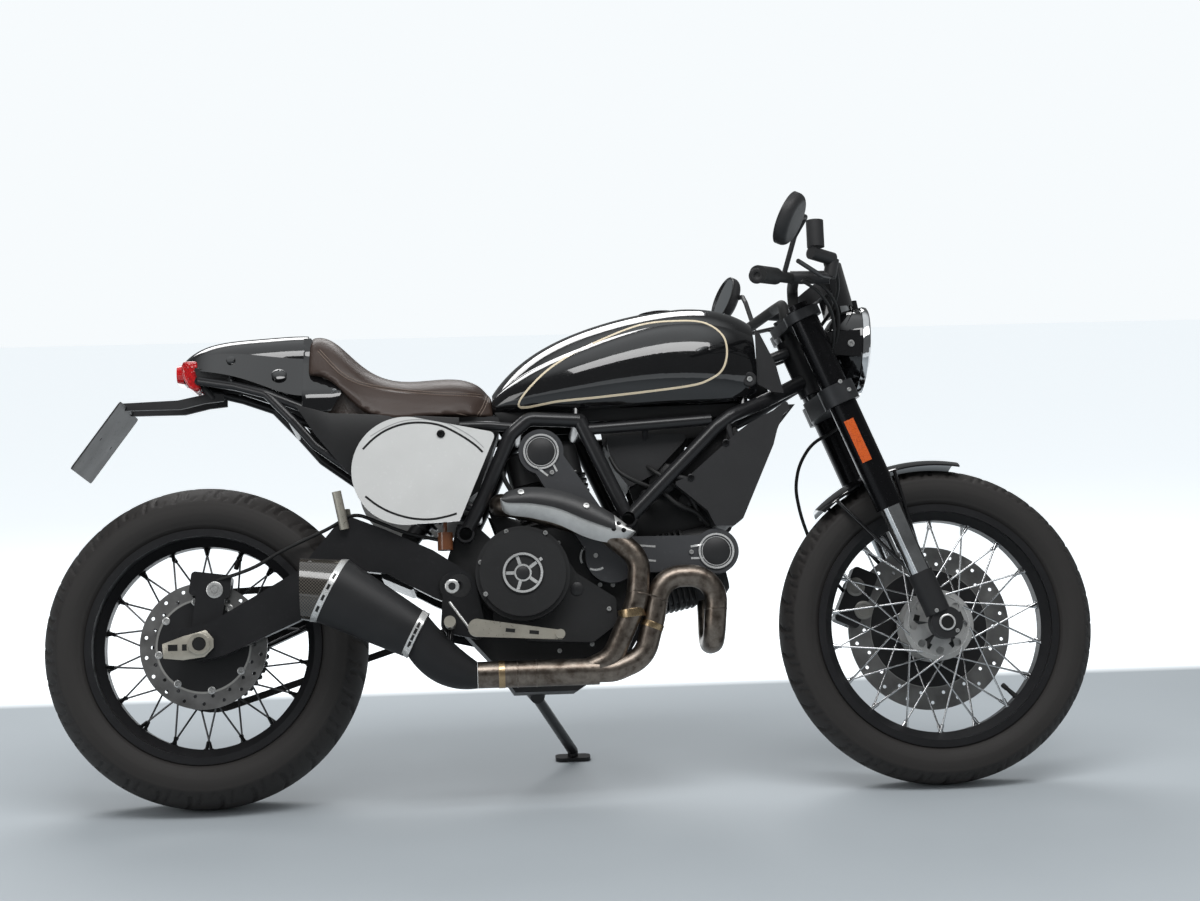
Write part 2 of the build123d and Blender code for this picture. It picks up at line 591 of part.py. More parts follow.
# Wheels
def tyre(axle_x, axle_z, radius, width, rim_radius, rim_width):
    """A road tyre: round crown, bulged walls and beads seated inside the rim's flanges."""
    bead = rim_radius - rim_bead_depth + seat_gap
    bead_place = rim_width / 2 - rim_wall - seat_gap
    lip = rim_radius + seat_gap
    wall = rim_radius + (radius - rim_radius) * tyre_wall_share
    shoulder = radius - width * tyre_shoulder_drop_share
    shoulder_place = width * tyre_shoulder_share
    with BuildPart() as piece:
        with BuildSketch(Plane((axle_x, 0, axle_z))):
            with BuildLine():
                Polyline((lip, -bead_place), (bead, -bead_place), (bead, bead_place), (lip, bead_place))
                for side in (1, -1):
                    ThreePointArc(
                        (lip, side * bead_place), (wall, side * width / 2), (
                            shoulder, side * shoulder_place
                        )
                    )
                ThreePointArc((shoulder, shoulder_place), (radius, 0), (shoulder, -shoulder_place))
            make_face()
        revolve(axis=Axis((axle_x, 0, axle_z), (0, 1, 0)))
    return piece.part


def rim(axle_x, axle_z, rim_radius, rim_width):
    """A spoked rim: two flanges, two bead seats and a well that the spoke nipples sit in."""
    bead = rim_radius - rim_bead_depth
    inner = rim_radius - rim_depth
    half = rim_width / 2
    well = rim_well_width / 2
    upper = [
        (rim_radius, -half),
        (rim_radius, -half + rim_wall),
        (bead, -half + rim_wall),
        (bead, -well - rim_bead_depth),
        (inner + rim_wall, -well),
    ]
    lower = [
        (inner, -well + rim_wall),
        (bead - rim_wall, -well - rim_bead_depth - rim_wall),
        (bead - rim_wall, -half),
    ]
    with BuildPart() as piece:
        with BuildSketch(Plane((axle_x, 0, axle_z))):
            with BuildLine():
                Polyline(
                    *upper,
                    *[(r, -y) for r, y in reversed(upper)],
                    *[(r, -y) for r, y in reversed(lower)],
                    *lower,
                    close=True,
                )
            make_face()
        revolve(axis=Axis((axle_x, 0, axle_z), (0, 1, 0)))
    return piece.part


def hub(axle_x, axle_z, flange_radius, flange_place, barrel_radius, right, left, steps):
    """A hub: a barrel, two drilled spoke flanges, noses at its ends and steps that carry disc or sprocket."""
    with BuildPart() as piece:
        add(barrel(axle_x, axle_z, -left, right, hub_nose_radius))
        add(barrel(axle_x, axle_z, -flange_place, flange_place, barrel_radius))
        for side in (1, -1):
            near = side * flange_place - flange_thickness / 2
            with BuildSketch(right_plane(near)):
                with Locations((axle_x, axle_z)):
                    Circle(flange_radius)
                    with PolarLocations((flange_radius + barrel_radius) / 2, flange_window_count):
                        Circle(flange_window_radius, mode=Mode.SUBTRACT)
            extrude(amount=flange_thickness)
        for near, far, radius in steps:
            add(barrel(axle_x, axle_z, near, far, radius))
        add(
            barrel(axle_x, axle_z, -left - overrun, right + overrun, axle_radius + bore_clearance),
            mode=Mode.SUBTRACT,
        )
    return piece.part


def spokes(axle_x, axle_z, rim_radius, flange_radius, flange_place):
    """Laced wire spokes: from each flange, half leave forwards and half backwards, and cross on the way."""
    reach = rim_radius - rim_depth + rim_wall / 2
    start = flange_radius - flange_thickness
    wires = []
    for side in (1, -1):
        for number in range(spoke_pairs):
            leave = 2 * pi * (number + (side > 0) / 2) / spoke_pairs
            for lay in (1, -1):
                arrive = leave + radians(lay * (spoke_leave_angle - spoke_reach_angle))
                foot = (
                    axle_x + start * cos(leave + radians(lay * spoke_reach_angle)),
                    side * flange_place + lay * spoke_flange_step,
                    axle_z + start * sin(leave + radians(lay * spoke_reach_angle)),
                )
                head = (
                    axle_x + reach * cos(arrive),
                    side * spoke_rim_place + lay * spoke_rim_step,
                    axle_z + reach * sin(arrive),
                )
                wires.append(rod(foot, head, spoke_radius))
    return Compound(children=wires)


def disc(axle_x, axle_z, radius, near, bore):
    """A brake disc: a track with two staggered rows of holes, on a carrier with windows between its arms."""
    track = radius * disc_track_share
    middle = (track + bore) / 2
    with BuildPart() as piece:
        with BuildSketch(right_plane(near)):
            with Locations((axle_x, axle_z)):
                Circle(radius)
                Circle(bore, mode=Mode.SUBTRACT)
                with PolarLocations(0, disc_window_count):
                    SlotArc(
                        CenterArc((0, 0), middle, 0, disc_window_angle),
                        (track - bore) * disc_window_share,
                        mode=Mode.SUBTRACT,
                    )
                for row, share in enumerate(disc_hole_row_shares):
                    step = degrees(row * pi / disc_hole_count)
                    with PolarLocations(radius * share, disc_hole_count, start_angle=step):
                        Circle(disc_hole_radius, mode=Mode.SUBTRACT)
        extrude(amount=disc_thickness)
    return piece.part


keep(
    "rear_tyre",
    tyre(0, rear_axle_z, rear_tyre_radius, rear_tyre_width, rear_rim_radius, rear_rim_width),
)
keep(
    "front_tyre",
    tyre(wheelbase, front_axle_z, front_tyre_radius, front_tyre_width, front_rim_radius, front_rim_width),
)
keep("rear_rim", rim(0, rear_axle_z, rear_rim_radius, rear_rim_width))
keep("front_rim", rim(wheelbase, front_axle_z, front_rim_radius, front_rim_width))
rear_disc_near = rear_disc_place - disc_thickness / 2
front_disc_near = -front_disc_place - disc_thickness / 2
sprocket_near = -chain_place - sprocket_thickness / 2
rear_step = rear_barrel_radius + flange_thickness
keep(
    "rear_hub",
    hub(
        0, rear_axle_z, rear_flange_radius, rear_flange_place, rear_barrel_radius, rear_hub_right,
        rear_hub_left,
        [(rear_flange_place, rear_disc_near, rear_barrel_radius),
         (-chain_place + sprocket_thickness / 2, -rear_flange_place, rear_step)],
    ),
)
keep(
    "front_hub",
    hub(
        wheelbase, front_axle_z, front_flange_radius, front_flange_place, front_barrel_radius,
        front_hub_right, front_hub_left,
        [
            (
                -front_disc_place + disc_thickness / 2, -front_flange_place,
                front_barrel_radius + flange_thickness,
            ),
        ],
    ),
)
keep("rear_spokes", spokes(0, rear_axle_z, rear_rim_radius, rear_flange_radius, rear_flange_place))
keep(
    "front_spokes",
    spokes(wheelbase, front_axle_z, front_rim_radius, front_flange_radius, front_flange_place),
)
keep("rear_disc", disc(0, rear_axle_z, rear_disc_radius, rear_disc_near, hub_nose_radius + seat_gap))
keep(
    "front_disc",
    disc(wheelbase, front_axle_z, front_disc_radius, front_disc_near, hub_nose_radius + seat_gap),
)

# Rear sprocket and chain
sprocket_pitch_radius = chain_pitch / (2 * sin(pi / sprocket_teeth))
front_pitch_radius = chain_pitch / (2 * sin(pi / front_sprocket_teeth))


def sprocket(x, z, teeth, pitch_radius, bore):
    """A toothed wheel with windows, whose tips stay just inside the chain's rollers."""
    root = pitch_radius - roller_radius - seat_gap - sprocket_tooth_depth
    half_step = pi / teeth
    with BuildPart() as piece:
        with BuildSketch(right_plane(sprocket_near)):
            with Locations((x, z)):
                outline = []
                for tooth in range(teeth):
                    middle = 2 * half_step * tooth
                    for turn, share in sprocket_tooth_shares:
                        radius = root + sprocket_tooth_depth * share
                        angle = middle + turn * half_step
                        outline.append((radius * cos(angle), radius * sin(angle)))
                Polygon(*outline, align=None)
                if bore:
                    Circle(bore, mode=Mode.SUBTRACT)
                    with PolarLocations(0, sprocket_window_count):
                        SlotArc(
                            CenterArc((0, 0), sprocket_window_radius, 0, sprocket_window_angle),
                            sprocket_window_width,
                            mode=Mode.SUBTRACT,
                        )
        extrude(amount=sprocket_thickness)
    return piece.part


keep(
    "rear_sprocket",
    sprocket(0, rear_axle_z, sprocket_teeth, sprocket_pitch_radius, hub_nose_radius + seat_gap),
)
chain_run = Vector(front_sprocket_x, front_sprocket_z) - Vector(0, rear_axle_z)
chain_turn = degrees(atan2(chain_run.Y, chain_run.X))
chain_wrap = degrees(atan2(sprocket_pitch_radius - front_pitch_radius, chain_run.length))


def chain_loop(shift):
    """The closed line of the chain in the side view, moved out or in from the pitch line."""
    rear = sprocket_pitch_radius + shift
    front = front_pitch_radius + shift
    ends = []
    for side in (1, -1):
        angle = radians(chain_turn + side * (90 - chain_wrap))
        ends.append(
            (
                (rear * cos(angle), rear_axle_z + rear * sin(angle)),
                (front_sprocket_x + front * cos(angle), front_sprocket_z + front * sin(angle)),
            )
        )
    back = radians(chain_turn + 180)
    nose = radians(chain_turn)
    with BuildLine() as loop:
        Line(*ends[0])
        ThreePointArc(
            ends[0][1],
            (front_sprocket_x + front * cos(nose), front_sprocket_z + front * sin(nose)),
            ends[1][1],
        )
        Line(ends[1][1], ends[1][0])
        ThreePointArc(ends[1][0], (rear * cos(back), rear_axle_z + rear * sin(back)), ends[0][0])
    return loop.line


def chain_band(low, high, near, thickness):
    """A band that follows the chain between two shifts from its pitch line."""
    with BuildPart() as piece:
        with BuildSketch(right_plane(near)):
            with BuildLine():
                add(chain_loop(high))
            make_face()
            with BuildLine():
                add(chain_loop(low))
            make_face(mode=Mode.SUBTRACT)
        extrude(amount=thickness)
    return piece.part


half_plate = chain_plate_height / 2
inside = chain_inner_width / 2
with BuildPart() as chain:
    add(chain_band(-half_plate, half_plate, -chain_place + inside, chain_plate_thickness))
    add(
        chain_band(
            -half_plate, half_plate, -chain_place - inside - chain_plate_thickness, chain_plate_thickness
        ),
    )
    add(chain_band(-roller_radius, roller_radius, -chain_place - inside, chain_inner_width))
keep("chain", chain.part)

# Frame: tubes of both sides, cross tubes, the steering head's tube and the open nodes at the engine bolts
loop = places(frame_corner, frame_size, loop_shares)
brace = places(frame_corner, frame_size, brace_shares)
down = places(frame_corner, frame_size, down_shares)
rail = places(frame_corner, frame_size, rail_shares)
backbone = places(frame_corner, frame_size, backbone_shares)
with BuildPart() as frame:
    for side in (1, -1):
        for line, radius in ((loop, frame_tube_radius), (down, frame_tube_radius)):
            points = [(x, side * y, z) for x, y, z in line]
            add(bent_tube(points, radius, frame_bend))
        for line, radius in (
            (brace, frame_tube_radius), (rail, brace_tube_radius), (backbone, brace_tube_radius)
        ):
            points = [(x, side * y, z) for x, y, z in line]
            add(rod(points[0], points[1], radius))
    add(rod(loop[-1], on_right(loop[-1]), frame_tube_radius))
    add(plate(shock_bracket_outline, -shock_bracket_place, shock_bracket_thickness))
    shock_pin_end = -shock_high[1] + shock_eye_radius + shock_lug_gap
    add(barrel(shock_high[0], shock_high[2], -shock_bracket_place, shock_pin_end, shock_pin_radius))
    for x, y, z in (loop[0], brace[-1]):
        for side in (1, -1):
            near = side * (y - frame_tube_radius / 2)
            with BuildSketch(right_plane(near)):
                with Locations((x, z)):
                    Circle(node_tube_radius)
            extrude(amount=node_length / 2, both=True)
    with BuildSketch(steering_plane(head_tube_low)):
        Circle(head_tube_radius)
    extrude(amount=head_tube_high - head_tube_low)
    with BuildSketch(steering_plane(head_tube_low - overrun)):
        Circle(stem_radius + bore_clearance)
    extrude(amount=head_tube_high - head_tube_low + 2 * overrun, mode=Mode.SUBTRACT)
    for x, y, z in (loop[0], brace[-1]):
        for side, radius in ((1, node_bore_radius), (-1, node_nut_radius)):
            with BuildSketch(right_plane(0)):
                with Locations((x, z)):
                    Circle(radius)
            extrude(amount=side * frame_size[1] * 2, mode=Mode.SUBTRACT)
keep("frame", frame.part)

subframe_low = places(subframe_corner, subframe_size, subframe_shares)
subframe_top = places(subframe_corner, subframe_size, subframe_top_shares)
with BuildPart() as subframe:
    for side in (1, -1):
        for line in (subframe_low, subframe_top):
            add(
                bent_tube(
                    [(x, side * y, z) for x, y, z in line], subframe_tube_radius, subframe_tube_radius * 2
                )
            )
    for place in (subframe_low[0], subframe_low[3], subframe_low[-1], subframe_top[-1]):
        add(rod(place, on_right(place), subframe_tube_radius))
    add(frame.part, mode=Mode.SUBTRACT)
keep("rear_subframe", subframe.part)


# Fuel tank: a loft of rounded sections with a tunnel for the frame underneath
def tank_section(row):
    """One cross section of the tank: flat base, bulged flanks and a crowned top."""
    along, low, high, base, waist, level = row
    x = tank_corner[0] + tank_size[0] * along
    z_low = tank_corner[2] + tank_size[2] * low
    z_high = tank_corner[2] + tank_size[2] * high
    base_half = tank_size[1] * base
    waist_half = tank_size[1] * waist
    z_waist = z_low + (z_high - z_low) * level
    z_shoulder = z_low + (z_high - z_low) * (level + (1 - level) * tank_shoulder_share)
    shoulder_half = waist_half * tank_shoulder_width_share
    with BuildSketch(Plane.YZ.offset(x)) as section:
        with BuildLine():
            Line((-base_half, z_low), (base_half, z_low))
            ThreePointArc((base_half, z_low), (waist_half, z_waist), (shoulder_half, z_shoulder))
            ThreePointArc((shoulder_half, z_shoulder), (0, z_high), (-shoulder_half, z_shoulder))
            ThreePointArc((-shoulder_half, z_shoulder), (-waist_half, z_waist), (-base_half, z_low))
        make_face()
    return section.sketch


tank_low = tank_corner[2]
tank_front = tank_corner[0] + tank_size[0]
tunnel_start = tank_corner[0] + tank_size[0] * tunnel_start_share
cap_x = tank_corner[0] + tank_size[0] * cap_place_share
cap_z = tank_corner[2] + tank_size[2] * cap_level_share
with BuildPart() as tank:
    for row in tank_sections_shares:
        add(tank_section(row))
    loft()
    with BuildSketch(Plane.YZ.offset(tunnel_start)):
        with Locations((0, tank_low)):
            Rectangle(tunnel_width, tunnel_height * 2)
    extrude(amount=tank_front - tunnel_start + overrun, mode=Mode.SUBTRACT)
    with BuildSketch(Plane.XY.offset(cap_z - cap_height)):
        with Locations((cap_x, 0)):
            Circle(cap_ring_radius + seat_gap)
    extrude(amount=cap_height * 2, mode=Mode.SUBTRACT)
keep("fuel_tank", tank.part)
with BuildPart() as filler:
    with BuildSketch(Plane.XY.offset(cap_z - cap_height)):
        with Locations((cap_x, 0)):
            Circle(cap_ring_radius)
    extrude(amount=cap_height)
    with BuildSketch(Plane.XY.offset(cap_z)):
        with Locations((cap_x, 0)):
            Circle(cap_lid_radius)
    extrude(amount=cap_lid_height)
    chamfer(filler.faces().sort_by(Axis.Z)[-1].edges(), cap_lid_height / 2)
keep("filler_cap", filler.part)

# Covers at the steering head: a pair of deep side covers in front of the frame, with their upper shields
cover = places((cover_corner[0], cover_corner[2]), (cover_size[0], cover_size[2]), cover_outline_shares)
cover_near = cover_size[1] - cover_thickness / 2
with BuildPart() as covers:
    add(both_sides(plate(cover, cover_near, cover_thickness, cover_corner_radius)))
shield = side_places(head_cover_corner, head_cover_size, head_cover_shares)
shields = both_sides(plate(shield, head_cover_size[1] - head_cover_thickness, head_cover_thickness))
keep("front_side_covers", covers.part + shields)


# Seat and tail: lofts of four-sided sections with rounded upper corners
def hump_section(corner, size, row):
    """One cross section of the seat or the cowl: flat base, leaning flanks and a crowned top."""
    along, low, high, base, top = row
    x = corner[0] + size[0] * along
    z_low = corner[2] + size[2] * low
    z_high = corner[2] + size[2] * high
    base_half = size[1] * base
    top_half = size[1] * top
    z_side = z_low + (z_high - z_low) * hump_side_share
    with BuildSketch(Plane.YZ.offset(x)) as section:
        with BuildLine():
            Polyline((-top_half, z_side), (-base_half, z_low), (base_half, z_low), (top_half, z_side))
            ThreePointArc((top_half, z_side), (0, z_high), (-top_half, z_side))
        make_face()
    return section.sketch


with BuildPart() as seat:
    for row in seat_sections_shares:
        add(hump_section(seat_corner, seat_size, row))
    loft()
keep("seat", seat.part)
with BuildPart() as cowl:
    for row in cowl_sections_shares:
        add(hump_section(cowl_corner, cowl_size, row))
    loft()
keep("tail_cowl", cowl.part)

# Tail light and the plate's bracket
cowl_rear = cowl_corner[0]
light_z = tail_light_z
with BuildPart() as light:
    with BuildSketch(Plane.YZ.offset(cowl_rear - seat_gap)):
        with Locations((0, light_z)):
            SlotOverall(tail_light_width, tail_light_height)
    extrude(amount=-tail_light_depth, taper=tail_light_taper)
keep("tail_light", light.part)
arm = places((plate_corner[0], plate_corner[2]), (plate_size[0], plate_size[2]), plate_arm_shares)
with BuildPart() as bracket:
    add(both_sides(plate(arm, plate_arm_place, plate_arm_thickness)))
    top = places(plate_corner, plate_size, [plate_top_share, plate_low_share])
    line = Vector(*top[1]) - Vector(*top[0])
    with BuildSketch(Plane(origin=top[0], x_dir=(0, 1, 0), z_dir=(-line.Z, 0, line.X))):
        with Locations((0, -line.length / 2)):
            RectangleRounded(plate_size[1], line.length, plate_corner_radius)
    extrude(amount=plate_thickness)
    with BuildSketch(Plane(origin=top[0], x_dir=(0, 1, 0), z_dir=(-line.Z, 0, line.X))):
        with Locations((0, -line.length / 2)):
            with GridLocations(plate_hole_spacing, 0, 2, 1):
                Circle(plate_hole_radius)
    extrude(amount=plate_thickness, mode=Mode.SUBTRACT)
    add(rod(top[0], (top[0][0], plate_arm_place, top[0][2]), plate_rod_radius))
    add(rod(top[0], (top[0][0], -plate_arm_place, top[0][2]), plate_rod_radius))
keep("plate_bracket", bracket.part)

# Number boards: ovals whose front edges are cut straight along the frame, and the tray between them
board_rear = side_places(board_corner, board_size, board_rear_shares)
board_front = side_places(board_corner, board_size, board_front_shares)
with BuildPart() as board:
    with BuildSketch(right_plane(board_size[1] - board_thickness)) as board_sketch:
        with BuildLine():
            ThreePointArc(*board_rear)
            Polyline(*board_front)
        make_face()
        fillet(board_sketch.vertices().group_by(Axis.X)[-1], board_corner_radius)
    extrude(amount=board_thickness)
keep("number_boards", both_sides(board.part))
tray_line = side_places(tray_corner, tray_size, tray_outline_shares)
with BuildPart() as tray:
    with BuildSketch(Plane.XZ) as tray_sketch:
        with BuildLine():
            Polyline(*tray_line, close=True)
        make_face()
        fillet(tray_sketch.vertices(), tray_corner_radius)
    extrude(amount=tray_size[1])
    with BuildSketch(Plane.XZ):
        add(tray_sketch.sketch)
    extrude(amount=-tray_left)
keep("seat_tray", coped(tray.part, seat.part))

# Engine
case_line = side_places(case_corner, case_size, case_outline_shares)


def angled_plane(angle, distance):
    """A plane square to a cylinder's axis, at a distance from the crank: its X runs across the machine."""
    turn = radians(angle)
    return Plane(
        origin=(crank_x + distance * cos(turn), 0, crank_z + distance * sin(turn)),
        x_dir=(0, 1, 0),
        z_dir=(cos(turn), 0, sin(turn)),
    )


def cylinder(angle):
    """A finned barrel and its head, stacked along the cylinder's axis."""
    pitch = cylinder_length / fin_count
    with BuildPart() as piece:
        with BuildSketch(angled_plane(angle, cylinder_start)):
            RectangleRounded(cylinder_half_width * 2, cylinder_depth, cylinder_corner)
        extrude(amount=cylinder_length)
        for fin in range(fin_count):
            with BuildSketch(angled_plane(angle, cylinder_start + pitch * (fin + 1) - fin_thickness)):
                RectangleRounded(
                    (cylinder_half_width + fin_reach) * 2, cylinder_depth + fin_reach * 2, cylinder_corner
                )
            extrude(amount=fin_thickness)
        with BuildSketch(angled_plane(angle, cylinder_start + cylinder_length)):
            RectangleRounded(head_half_width * 2, head_depth, cylinder_corner)
        extrude(amount=head_length)
        top = piece.faces().sort_by(Axis((0, 0, 0), angled_plane(angle, 0).z_dir))[-1]
        chamfer(top.edges(), cylinder_corner / 3)
    return piece.part


stand_top = Vector(*stand_pivot)
stand_turn = Vector(*stand_axis).normalized()
pin_cap_right = arm_right_place + arm_thickness + overrun + seat_gap
pin_cap_left = arm_left_place + arm_thickness + overrun + seat_gap
pin_right = pin_cap_right + hanger_thickness + seat_gap * 2
pin_left = pin_cap_left + hanger_thickness + seat_gap * 2
with BuildPart() as case:
    with BuildSketch(Plane.XZ):
        with BuildLine():
            Polyline(*case_line, close=True)
        make_face()
    extrude(amount=case_half_width, both=True)
    for angle in (front_cylinder_angle, rear_cylinder_angle):
        with BuildSketch(angled_plane(angle, 0)):
            RectangleRounded(cylinder_half_width * 2, cylinder_depth, cylinder_corner)
        extrude(amount=cylinder_start)
    lower = side_places(case_corner, case_size, lower_cover_shares)
    add(plate(lower, case_half_width, lower_cover_depth, case_cover_corner))
    add(barrel(crank_x, crank_z, -case_half_width - alternator_depth, -case_half_width, alternator_radius))
    add(
        barrel(
            front_sprocket_x, front_sprocket_z, sprocket_near - overrun, -case_half_width,
            hub_nose_radius / 2,
        ),
    )
    add(barrel(pivot_x, pivot_z, -pivot_lug_half, pivot_lug_half, pivot_radius - clamp_wall))
    add(barrel(pivot_x, pivot_z, -pin_left, pin_right, pivot_pin_radius))
    for near, far in ((pin_cap_right, pin_right), (-pin_left, -pin_cap_left)):
        add(barrel(pivot_x, pivot_z, near, far, pivot_pin_radius + clamp_wall))
    add(barrel(pivot_x, pivot_z, -pin_left, pin_right, axle_bore_radius), mode=Mode.SUBTRACT)
    add(sprocket(front_sprocket_x, front_sprocket_z, front_sprocket_teeth, front_pitch_radius, 0))
    add(
        rod(
            stand_top - stand_turn * stand_lug_reach, stand_top + stand_turn * stand_pin_reach,
            stand_pin_radius,
        ),
    )
    add(
        rod(
            stand_top - stand_turn * stand_lug_reach, stand_top - stand_turn * stand_lug_gap,
            stand_eye_radius,
        ),
    )
    add(rod(stand_web_start, stand_web_end, stand_eye_radius))
    add(
        barrel(clutch_x, clutch_z, case_half_width, case_half_width * 2, clutch_radius + seat_gap),
        mode=Mode.SUBTRACT,
    )
keep("crankcase", case.part)
keep("front_cylinder", cylinder(front_cylinder_angle))
keep("rear_cylinder", cylinder(rear_cylinder_angle))
clutch_near = case_half_width + lower_cover_depth
with BuildPart() as clutch:
    add(
        barrel(
            clutch_x, clutch_z, case_half_width + seat_gap, clutch_near + clutch_depth - clutch_step,
            clutch_radius,
        ),
    )
    add(barrel(clutch_x, clutch_z, clutch_near, clutch_near + clutch_depth, clutch_radius - clutch_step))
    outer = clutch_near + clutch_depth
    add(barrel(clutch_x, clutch_z, outer, outer + clutch_ring_height, clutch_ring_radius, clutch_ring_bore))
keep("clutch_cover", clutch.part)


def belt_cover(end_x, end_z):
    """A cover over one cam belt: two round ends joined by a waist, with a raised ring at the cam."""
    with BuildPart() as piece:
        with BuildSketch(right_plane((case_half_width + seat_gap))):
            with Locations((belt_pulley_x, belt_pulley_z)):
                Circle(belt_pulley_cover_radius)
            with Locations((end_x, end_z)):
                Circle(belt_cover_radius)
            with BuildLine():
                run = Vector(end_x - belt_pulley_x, end_z - belt_pulley_z).normalized()
                side = Vector(-run.Y, run.X)
                start, end = Vector(belt_pulley_x, belt_pulley_z), Vector(end_x, end_z)
                Polyline(
                    start + side * belt_pulley_cover_radius * belt_waist_share,
                    end + side * belt_cover_radius * belt_waist_share,
                    end - side * belt_cover_radius * belt_waist_share,
                    start - side * belt_pulley_cover_radius * belt_waist_share,
                    close=True,
                )
            make_face()
        extrude(amount=belt_cover_depth)
        far = (case_half_width + seat_gap) + belt_cover_depth
        add(barrel(end_x, end_z, far, far + belt_ring_height, belt_ring_radius, belt_ring_bore))
    return piece.part


keep("belt_covers", belt_cover(front_belt_x, front_belt_z) + belt_cover(rear_belt_x, rear_belt_z))
airbox_line = side_places(frame_corner, frame_size, airbox_outline_shares)
with BuildPart() as airbox:
    with BuildSketch(Plane.XZ) as airbox_sketch:
        with BuildLine():
            Polyline(*airbox_line, close=True)
        make_face()
        fillet(airbox_sketch.vertices(), tray_corner_radius)
    extrude(amount=airbox_half_width, both=True)
keep("airbox", airbox.part)

# Exhaust: both headers and the collector, the heat shield, the collector box and the silencer
rear_header = [(x, -y, z) for x, y, z in places(exhaust_corner, exhaust_size, rear_header_shares)]
front_header = [(x, -y, z) for x, y, z in places(exhaust_corner, exhaust_size, front_header_shares)]
with BuildPart() as pipes:
    add(bent_tube(rear_header, header_radius, rear_header_bends))
    add(bent_tube(front_header, header_radius, front_header_bends))
    add(
        rod(
            (collector_start_x, -collector_y, collector_z), (collector_end_x, -collector_y, collector_z),
            collector_radius,
        ),
    )
keep("exhaust_pipes", coped(pipes.part, pieces["front_cylinder"], pieces["rear_cylinder"]))
shield_line = places(shield_corner, shield_size, shield_outline_shares)
keep("heat_shield", plate(shield_line, shield_place, shield_thickness))


def oval_plane(place, direction):
    """A plane square to the silencer's line at one place, with its X to the left of the machine."""
    return Plane(origin=place, x_dir=(0, 1, 0), z_dir=direction)


run = Vector(*on_right(silencer_rear)) - Vector(*on_right(silencer_front))
with BuildPart() as box:
    with BuildSketch(oval_plane((box_inlet_x - seat_gap, -collector_y, box_inlet_z), (-1, 0, 0))):
        Circle(collector_radius)
    with BuildSketch(oval_plane(on_right(box_middle), box_middle_direction)):
        Ellipse(box_middle_width / 2, box_middle_height / 2)
    with BuildSketch(oval_plane(on_right(silencer_front), run)):
        Ellipse(silencer_front_width / 2 - silencer_wall, silencer_front_height / 2 - silencer_wall)
    loft()
keep("collector_box", box.part)
with BuildPart() as silencer:
    with BuildSketch(oval_plane(Vector(*on_right(silencer_front)) + run.normalized() * seat_gap, run)):
        Ellipse(silencer_front_width / 2, silencer_front_height / 2)
    with BuildSketch(oval_plane(on_right(silencer_rear), run)):
        Ellipse(silencer_rear_width / 2, silencer_rear_height / 2)
    loft()
    tail_face = oval_plane(on_right(silencer_tail), (-1, 0, 0))
    with BuildSketch(oval_plane(on_right(silencer_rear), run)):
        Ellipse(silencer_rear_width / 2, silencer_rear_height / 2)
    with BuildSketch(tail_face):
        Ellipse(silencer_tail_width / 2, silencer_tail_height / 2)
    loft()
    with BuildSketch(tail_face):
        Circle(silencer_bore_radius)
    extrude(amount=-silencer_bore_depth, mode=Mode.SUBTRACT)
keep("silencer", silencer.part)

# Swingarm: two bent arms and the bridge between them, the shock, the axle and its adjusters
arm_line = side_places(arm_corner, arm_size, arm_outline_shares)
with BuildPart() as swingarm:
    add(plate(arm_line, arm_right_place, arm_thickness, arm_corner_radius))
    add(plate(arm_line, -arm_left_place - arm_thickness, arm_thickness, arm_corner_radius))
    with BuildSketch(right_plane(-arm_left_place)):
        with Locations((arm_bridge_x, arm_bridge_z)):
            RectangleRounded(
                arm_bridge_length, arm_bridge_height, arm_corner_radius, rotation=arm_bridge_turn
            )
    extrude(amount=arm_left_place + arm_right_place)
    add(
        chain_band(
            -half_plate - running_gap, half_plate + running_gap,
            -chain_place - inside - chain_plate_thickness - running_gap,
            chain_inner_width + 2 * (chain_plate_thickness + running_gap),
        ),
        mode=Mode.SUBTRACT,
    )
    eye_half = shock_eye_radius + shock_lug_gap
    for near in (-shock_low[1] + eye_half, -shock_low[1] - eye_half - shock_lug_thickness):
        add(plate(shock_lug_outline, near, shock_lug_thickness))
    add(
        barrel(
            shock_low[0], shock_low[2], -shock_low[1] - eye_half, -shock_low[1] + eye_half, shock_pin_radius
        ),
    )
    for near, far in (
        (arm_right_place - overrun, arm_right_place + arm_thickness + overrun),
        (-arm_left_place - arm_thickness - overrun, -arm_left_place + overrun),
    ):
        add(barrel(pivot_x, pivot_z, near, far, pivot_radius))
        add(
            barrel(pivot_x, pivot_z, near - overrun, far + overrun, pivot_pin_radius + bore_clearance),
            mode=Mode.SUBTRACT,
        )
        add(
            barrel(0, rear_axle_z, near - overrun, far + overrun, axle_radius + bore_clearance),
            mode=Mode.SUBTRACT,
        )
keep("swingarm", swingarm.part)

def axle(x, z, right, left, collars, bore):
    """A hollow axle with collars that space the wheel and clamp the arms."""
    with BuildPart() as piece:
        add(barrel(x, z, -left, right, axle_radius))
        for near, far in collars:
            add(barrel(x, z, near, far, axle_collar_radius))
        add(barrel(x, z, -left - overrun, right + overrun, bore), mode=Mode.SUBTRACT)
    return piece.part


keep(
    "rear_axle",
    axle(
        0, rear_axle_z, rear_axle_right, rear_axle_left,
        [(arm_right_place + arm_thickness + seat_gap, rear_axle_right - overrun),
         (-rear_axle_left + overrun, -arm_left_place - arm_thickness - seat_gap),
         (rear_hub_right + seat_gap, carrier_place - seat_gap),
         (-arm_left_place + seat_gap, -rear_hub_left - seat_gap)],
        axle_bore_radius,
    ),
)


